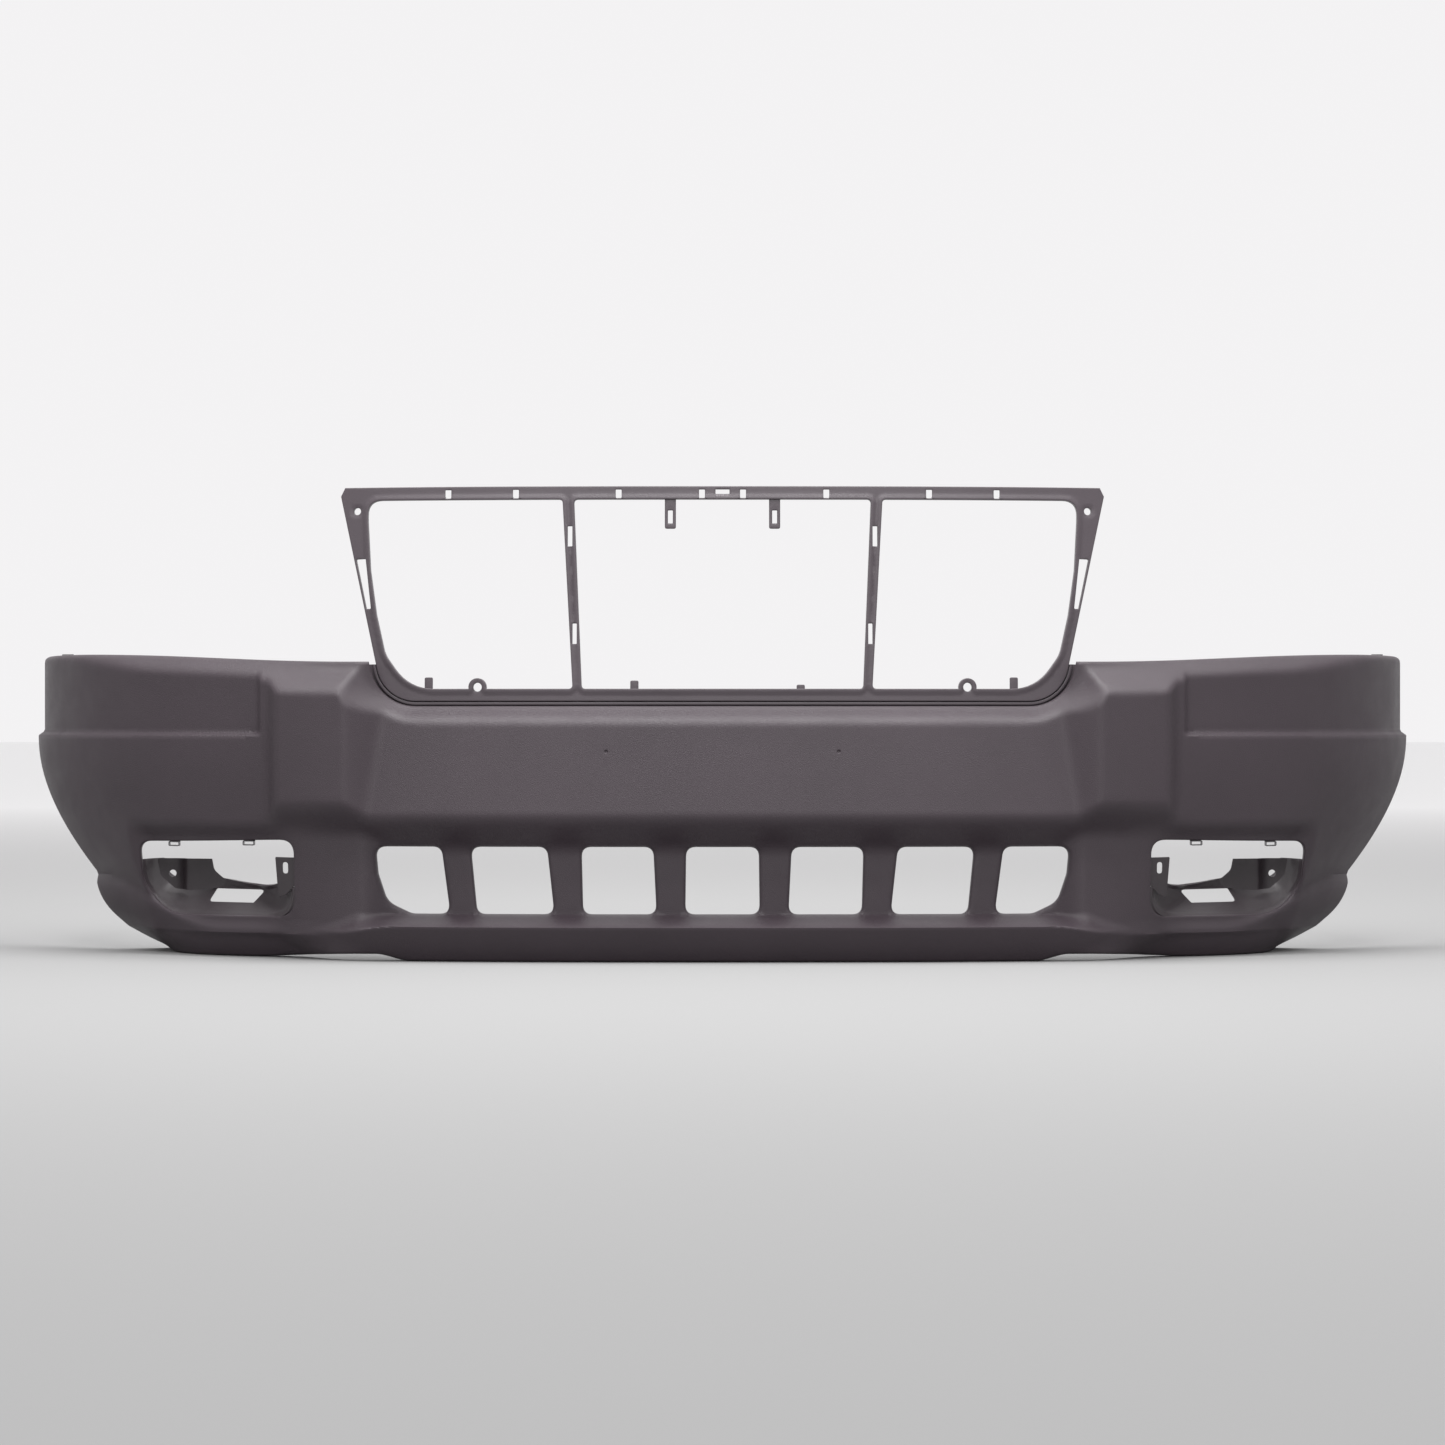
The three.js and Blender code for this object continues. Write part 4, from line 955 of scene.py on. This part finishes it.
def bent_bar(half_length, low_z, high_z, near, far, steps=60):
    """Straight level bar that follows the bow of the frame."""
    x = np.linspace(-half_length, half_length, steps + 1)
    depth = rim_y(x, np.full_like(x, (low_z + high_z) / 2))
    corners = [(low_z, near), (high_z, near), (high_z, far), (low_z, far)]
    rings = np.stack([stacked(x, depth + reach, z) for z, reach in corners], 1)
    faces = []
    for k in range(steps):
        for side in range(4):
            a, b = 4 * k + side, 4 * k + (side + 1) % 4
            faces += [[a, b, b + 4], [a, b + 4, a + 4]]
    last = 4 * steps
    faces += [[0, 2, 1], [0, 3, 2], [last, last + 1, last + 2], [last, last + 2, last + 3]]
    return outward_faces((rings.reshape(-1, 3), np.array(faces)))


def frame_plate():
    """The frame's front plate with a groove along the back of its top and bottom rails."""
    openings = frame_openings()
    plate = plate_solid(rim_y, frame_outer(), openings + frame_windows(), 0, FRAME_DEPTH, FRAME_EDGE_RADIUS,
                        2.6, frame_relief(openings))
    for half_length, low_z, high_z in RAIL_GROOVES:
        groove = bent_bar(half_length, low_z, high_z, GROOVE_NEAR, FRAME_DEPTH + 1)
        plate = combined(plate, groove, "DIFFERENCE")
    return plate


def frame_solid():
    parts = [frame_plate()]
    for section in (REAR_FLANGE, BEAD):
        parts.append(notch_sweep(rounded_section(*section), FLANGE_TOP_Z))
    for x in HOOKS:
        outline = box_outline(x, 544, 13.5, 38, 2.5)
        parts.append(plate_solid(rim_y, outline, [box_outline(x, 539.5, 6, 16)], 2, 8, 1.2, 6))
    for x, height in TABS:
        outline = box_outline(x, OPENING_FLOOR_Z + height / 2 - 2, 10, height + 4, 2)
        parts.append(plate_solid(rim_y, outline, [], 5, 8, 0.8, 5))
    return joined(parts)


# ---- lamp pocket, bracket and clips

POCKET_RIM = [
    [525, 88], [525, 78], [527, 67], [534, 57], [548, 51], [572, 49.5], [610, 49], [640, 49], [664, 49.5],
    [684, 53], [701, 60], [713, 71], [721, 84], [725, 98], [727, 118],
]
POCKET_BACK = [
    [538, 90], [539, 88.5], [541, 87], [545, 85.5], [553, 84], [575, 83], [606, 83], [630, 83], [648, 83.5],
    [666, 84], [680, 86], [692, 90], [702, 97], [707, 107], [709, 118],
]
POCKET_MIDDLE = np.array([620.0, 118.0])
POCKET_WALL = 2.5
POCKET_DEPTH = 50
POCKET_TOP_Z = 118
POCKET_LIP = 9
LAMP_HOLE = (693, 99)
LAMP_HOLE_RADIUS = 4.5
FLOOR_WINDOW = [[583, 65], [643, 65], [634, 81], [568, 81]]
PLATE_FOOT_Z = 66
PLATE_SETBACK = 44
PLATE_PLAN = [[712, 0], [700, 0], [684, -0.5], [679, -4], [674, -11], [668, -13], [656, -16],
              [643, -20], [625, -25.5], [608, -31.5]]
PLATE_OUTLINE = [[608, 84], [668, 78], [690, 80], [708, 96], [713, 119], [641, 119], [638, 104], [626, 94],
                 [608, 91.5]]
BRACKET_SLOT = (535.5, 111, 7, 14)
BRACKET = [[500, 93], [524, 89], [535, 78], [545, 74], [547, 92], [549, 124], [500, 124]]
CLIPS = {"inner": 582, "outer": 681}
CLIP_WIDTH = 15
CLIP_EDGE = 0.35
IN_FRONT = -300
BEHIND = 100


def resampled(path, steps):
    """Smooth curve through the points of a path, in the given number of steps."""
    path = np.asarray(path, float)
    length = np.concatenate([[0], np.cumsum(np.linalg.norm(np.diff(path, axis=0), axis=1))])
    tangent = np.gradient(path, length, axis=0)
    values = np.linspace(0, length[-1], steps + 1)
    index = np.clip(np.searchsorted(length, values, "right") - 1, 0, len(path) - 2)
    span = np.diff(length)[index][:, None]
    t = (values - length[index])[:, None] / span
    start = (2 * t ** 3 - 3 * t ** 2 + 1) * path[index] + (t ** 3 - 2 * t ** 2 + t) * tangent[index] * span
    end = (3 * t ** 2 - 2 * t ** 3) * path[index + 1] + (t ** 3 - t ** 2) * tangent[index + 1] * span
    return start + end


def grid_solid(front, back):
    """Closed solid between two grids of points."""
    rows, columns = front.shape[:2]
    index = np.arange(rows * columns).reshape(rows, columns)
    far = index + rows * columns
    quads = [stacked(grid[:-1, :-1], grid[:-1, 1:], grid[1:, 1:], grid[1:, :-1]).reshape(-1, 4)
             for grid in (index, far)]
    quads[1] = quads[1][:, [0, 3, 2, 1]]
    borders = [(index[0], far[0]), (index[-1, ::-1], far[-1, ::-1]),
               (index[::-1, 0], far[::-1, 0]), (index[:, -1], far[:, -1])]
    for edge, far_edge in borders:
        quads.append(stacked(edge[1:], edge[:-1], far_edge[:-1], far_edge[1:]))
    quads = np.concatenate(quads)
    faces = np.concatenate([quads[:, [0, 1, 2]], quads[:, [0, 2, 3]]])
    return np.concatenate([front.reshape(-1, 3), back.reshape(-1, 3)]), faces


def thick_sheet(front, thickness):
    """Closed solid of a grid of points and the same grid moved along its normals."""
    normals = unit(np.cross(np.gradient(front, axis=1), np.gradient(front, axis=0)))
    return outward_faces(grid_solid(front, front + normals * thickness))


def prism(outline):
    """Straight block through the whole cover with the given outline in the front view."""
    loops = [lifted(outline, y) for y in (IN_FRONT, BEHIND)]
    _, triangles = triangulated(outline, [], np.zeros((0, 2)), 1)
    count = len(outline)
    index = np.arange(count)
    after = np.roll(index, -1)
    sides = np.concatenate([stacked(index, index + count, after),
                            stacked(after, index + count, after + count)])
    faces = np.concatenate([triangles, triangles[:, ::-1] + count, sides])
    return outward_faces((np.concatenate(loops), faces))


def pocket_bowl():
    """The tray behind the lamp opening: a flange, a bowl and an upright lip along its back."""
    steps = 120
    rim, back = resampled(POCKET_RIM, steps), resampled(POCKET_BACK, steps)
    outwards, to_back = unit(rim - POCKET_MIDDLE), unit(back - POCKET_MIDDLE)
    share = np.linspace(0, 1, steps + 1)
    flange_reach = 3 + 11 * ease(0.02, 0.14, share)
    flange = rim + outwards * flange_reach[:, None]
    gap = SLEEVE_DEPTH + CLEARANCE
    rim_depth = skin_y(rim[:, 0], rim[:, 1]) + gap
    flange_depth = np.maximum(skin_y(flange[:, 0], flange[:, 1]) + gap, rim_depth)

    lip_reach = POCKET_LIP * (1 - ease(0.72, 0.82, share))[:, None]
    rows = [lifted(flange, flange_depth), lifted(rim + outwards, rim_depth)]
    for t in np.linspace(0, 1, 15)[1:]:
        flat = rim + (back - rim) * (0.35 * t + 0.65 * t * t)
        rows.append(lifted(flat, rim_depth + POCKET_DEPTH * t))
    for t in (0.15, 0.5, 1.0):
        lip = back - to_back * (lip_reach + 0.5) * t
        rows.append(lifted(lip, rim_depth + POCKET_DEPTH + 1.2 * t ** 0.5))
    return thick_sheet(np.array(rows), POCKET_WALL)


def pocket_plate():
    """Upright plate with the lamp's pivot hole. It steps forwards to a leaning face beside it."""
    plan = resampled(PLATE_PLAN, 40)
    depth = skin_y(700, 100) + PLATE_SETBACK + plan[:, 1]
    levels = np.linspace(PLATE_FOOT_Z, POCKET_TOP_Z, 12)
    front = np.stack([stacked(plan[:, 0], depth, z) for z in levels])
    outline = rounded_outline(PLATE_OUTLINE, [0.5, 2, 6, 12, 1, 2, 12, 8, 0.5], 6, 8)
    return combined(thick_sheet(front, POCKET_WALL), prism(outline), "INTERSECT")


def pocket_solid():
    window = prism(rounded_outline(FLOOR_WINDOW, [3] * 4, 5, 8))
    hole = prism(circle_outline(*LAMP_HOLE, LAMP_HOLE_RADIUS))
    bowl = combined(pocket_bowl(), window, "DIFFERENCE")
    plate = combined(pocket_plate(), hole, "DIFFERENCE")
    return joined([bowl, plate])


def bracket_solid():
    outline = rounded_outline(BRACKET, [2, 3, 3, 1.5, 8, 1.5, 2], 5, 4)
    slot = box_outline(*BRACKET_SLOT, 3.3, 3)
    near = SLEEVE_DEPTH + 0.6
    return plate_solid(skin_y, outline, [slot], near, near + 3, 0.7, 3)


def lamp_top(x):
    """Height of the lamp opening's upper edge."""
    (outer_x, outer_z), (inner_x, inner_z) = LAMP_CORNERS[3:]
    return inner_z - (x - inner_x) * (inner_z - outer_z) / (outer_x - inner_x)


def clip_solid(x):
    """Spring clip on the sleeve over the lamp opening: a thin loop below it and a tongue behind it."""
    top = lamp_top(x + CLIP_WIDTH / 2) - CLEARANCE

    def level(px, pz):
        return skin_y(px, np.full_like(px, top))

    loop = box_outline(x, top - 3, CLIP_WIDTH, 6, 1.6, 2)
    gap = box_outline(x, top - 3, 12.6, 3.6, 0.8, 2)
    tongue = box_outline(x, top + 3, CLIP_WIDTH, 9, 1.2, 3)
    return joined([plate_solid(level, loop, [gap], 2, SLEEVE_DEPTH + 1.6, CLIP_EDGE, 3),
                   plate_solid(level, tongue, [], SLEEVE_DEPTH + 0.6, SLEEVE_DEPTH + 2.1, CLIP_EDGE, 3)])


# ---- materials

def add_node(tree, kind, inputs):
    """New shader node. Each input gets a value or is linked to another node's output."""
    node = tree.nodes.new("ShaderNode" + kind)
    for name, value in inputs.items():
        if isinstance(value, bpy.types.NodeSocket):
            tree.links.new(value, node.inputs[name])
        else:
            node.inputs[name].default_value = value
    return node


def new_material(name):
    """A material, its node tree, its shader and the object's coordinates."""
    material = bpy.data.materials.new(name)
    material.use_nodes = True
    tree = material.node_tree
    tree.nodes.clear()
    shader = add_node(tree, "BsdfPrincipled", {})
    add_node(tree, "OutputMaterial", {"Surface": shader.outputs["BSDF"]})
    return material, tree, shader, add_node(tree, "TexCoord", {}).outputs["Object"]


def noise(tree, coordinates, scale, detail):
    inputs = {"Vector": coordinates, "Scale": scale, "Detail": detail, "Roughness": 0.55}
    return add_node(tree, "TexNoise", inputs).outputs["Fac"]


def ranged(tree, value, low, high, from_low=0.3, from_high=0.7):
    """The value, led from one range to another."""
    inputs = {"Value": value, "From Min": from_low, "From Max": from_high, "To Min": low, "To Max": high}
    return add_node(tree, "MapRange", inputs).outputs["Result"]


def multiplied(tree, first, second):
    node = add_node(tree, "Math", {0: first, 1: second})
    node.operation = "MULTIPLY"
    return node.outputs[0]


def tinted(tree, colour, shade, shader):
    """Gives the shader a colour whose brightness follows the shade."""
    tint = add_node(tree, "VectorMath", {0: colour})
    tint.operation = "SCALE"
    tree.links.new(shade, tint.inputs["Scale"])
    tree.links.new(tint.outputs["Vector"], shader.inputs["Base Color"])


def embossed(tree, height, strength, distance, shader):
    bump = add_node(tree, "Bump", {"Height": height, "Strength": strength, "Distance": distance})
    tree.links.new(bump.outputs["Normal"], shader.inputs["Normal"])


def plastic(name, colour, roughness, grain_height, grain_size=1600.0):
    """Moulded plastic: a fine leathery grain, faint cloudy tone, and convex edges painted paler as a painted
    highlight.
    """
    material, tree, shader, coordinates = new_material(name)
    pointiness = add_node(tree, "NewGeometry", {}).outputs["Pointiness"]
    clouds = ranged(tree, noise(tree, coordinates, 7.0, 3.0), 0.93, 1.07)
    specks = ranged(tree, noise(tree, coordinates, 1500.0, 2.0), 0.88, 1.12)
    # painted highlight: the colour gets up to 1.35 times paler on convex edges, where rounded fillets catch
    # the light
    edges = ranged(tree, pointiness, 1.0, 1.35, 0.52, 0.62)
    shade = multiplied(tree, multiplied(tree, clouds, specks), edges)
    tinted(tree, colour, shade, shader)

    worn = noise(tree, coordinates, 22.0, 5.0)
    tree.links.new(ranged(tree, worn, roughness - 0.05, roughness + 0.06), shader.inputs["Roughness"])

    cells = add_node(tree, "TexVoronoi", {"Vector": coordinates, "Scale": grain_size})
    fine = noise(tree, coordinates, grain_size * 2.2, 3.0)
    grain = add_node(tree, "Math", {0: cells.outputs["Distance"], 1: fine})
    grain.operation = "ADD"
    embossed(tree, grain.outputs[0], grain_height, 0.0004, shader)
    return material


def metal(name, colour, roughness, mottle):
    """Plated or phosphated steel with a mottled finish and fine scratches."""
    material, tree, shader, coordinates = new_material(name)
    spots = noise(tree, coordinates, 400.0, 5.0)
    tinted(tree, colour, ranged(tree, spots, 1 - mottle, 1 + mottle), shader)
    shader.inputs["Metallic"].default_value = 1.0
    scratches = noise(tree, coordinates, 1200.0, 2.0)
    rough = ranged(tree, scratches, roughness - 0.08, roughness + 0.12)
    tree.links.new(rough, shader.inputs["Roughness"])
    embossed(tree, scratches, 0.15, 0.0002, shader)
    return material


MATERIALS = {
    "grained_plastic": plastic("grained_plastic", (0.036, 0.0255, 0.0325), 0.49, 0.6, 1100.0),
    "frame_plastic": plastic("frame_plastic", (0.060, 0.048, 0.056), 0.38, 0.25),
    "pocket_plastic": plastic("pocket_plastic", (0.036, 0.029, 0.033), 0.42, 0.25),
    "black_plastic": plastic("black_plastic", (0.022, 0.020, 0.021), 0.45, 0.25),
    "spring_steel": metal("spring_steel", (0.16, 0.155, 0.16), 0.42, 0.25),
    "zinc_screw": metal("zinc_screw", (0.20, 0.19, 0.20), 0.34, 0.2),
}

# ---- pieces

def stand_for(node, part, slot):
    """Makes a piece of the part in place of a node of the frame."""
    piece = make_object(f"{node}_moulded", part, MATERIALS[slot])
    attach(piece, "root")
    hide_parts(node)
    return piece


def both_pieces(name, part, slot):
    """The right-hand piece and its mirror image, each in place of the node with its name."""
    welded(stand_for(f"{name}_right", part, slot))
    welded(stand_for(f"{name}_left", mirrored(part), slot))


stand_for("bumper_skin", skin_solid(), "grained_plastic")
welded(stand_for("grille_frame", frame_solid(), "frame_plastic"))
both_pieces("lamp_pocket", pocket_solid(), "pocket_plastic")
both_pieces("lamp_bracket", bracket_solid(), "pocket_plastic")
for clip_name, clip_x in CLIPS.items():
    both_pieces(f"bezel_clip_{clip_name}", clip_solid(clip_x), "spring_steel")

SLOTS = {entry["node"]: entry["material_slot"] for entry in frame["record"]["subparts"]}
for node_name, node_object in frame["nodes"].items():
    node_object.data.materials.clear()
    node_object.data.materials.append(MATERIALS[SLOTS[node_name]])

# ---- floor, light and camera

FLOOR_SIZE = 60

# The floor is darker up to just behind the cover and paler far away. The places are in the floor's own units.
FLOOR_SHADE = (0.28, 0.9)
FLOOR_FADE = (-0.33, -0.2)

CAMERA_DISTANCE = 4.5
CAMERA_HEIGHT = 0.289
VIEW_WIDTH = 1.734


def stage():
    bpy.ops.mesh.primitive_plane_add(size=1)
    floor = bpy.context.object
    floor.name = "floor"
    floor.scale = (FLOOR_SIZE, FLOOR_SIZE, 1)
    floor.location = (0, 20, -0.0005)
    material, tree, shader, coordinates = new_material("pale_floor")
    split = add_node(tree, "SeparateXYZ", {0: coordinates})
    shade = ranged(tree, split.outputs["Y"], *FLOOR_SHADE, *FLOOR_FADE)
    tree.links.new(shade, shader.inputs["Base Color"])
    shader.inputs["Roughness"].default_value = 0.9
    shader.inputs["Specular IOR Level"].default_value = 0.1
    floor.data.materials.append(material)


def area_light(name, location, target, width, height, power):
    light = bpy.data.lights.new(name, "AREA")
    light.shape = "RECTANGLE"
    light.size = width
    light.size_y = height
    light.energy = power
    lamp = bpy.data.objects.new(name, light)
    lamp.location = location
    lamp.rotation_euler = (Vector(target) - Vector(location)).to_track_quat("-Z", "Y").to_euler()
    bpy.context.scene.collection.objects.link(lamp)


def lights():
    world = bpy.data.worlds.new("studio")
    world.use_nodes = True
    background = world.node_tree.nodes["Background"]
    background.inputs["Color"].default_value = (1.0, 0.99, 1.0, 1)
    background.inputs["Strength"].default_value = 0.9
    bpy.context.scene.world = world
    bpy.context.scene.view_settings.view_transform = "Standard"
    area_light("overhead", (0, -0.6, 2.6), (0, -0.1, 0.2), 2.6, 1.8, 125)
    area_light("front", (0, -4.6, 3.4), (0, 0, 0.3), 2.2, 1.6, 105)


def camera():
    """A level camera in front of the cover. VIEW_WIDTH is what it sees at its distance."""
    data = bpy.data.cameras.new("camera")
    data.sensor_width = 36
    data.angle = 2 * math.atan(0.5 * VIEW_WIDTH / CAMERA_DISTANCE)
    piece = bpy.data.objects.new("camera", data)
    piece.location = (0, FRONT_Y * MM - CAMERA_DISTANCE, CAMERA_HEIGHT)
    piece.rotation_euler = (math.radians(90), 0, 0)
    bpy.context.scene.collection.objects.link(piece)
    bpy.context.scene.camera = piece


stage()
lights()
camera()
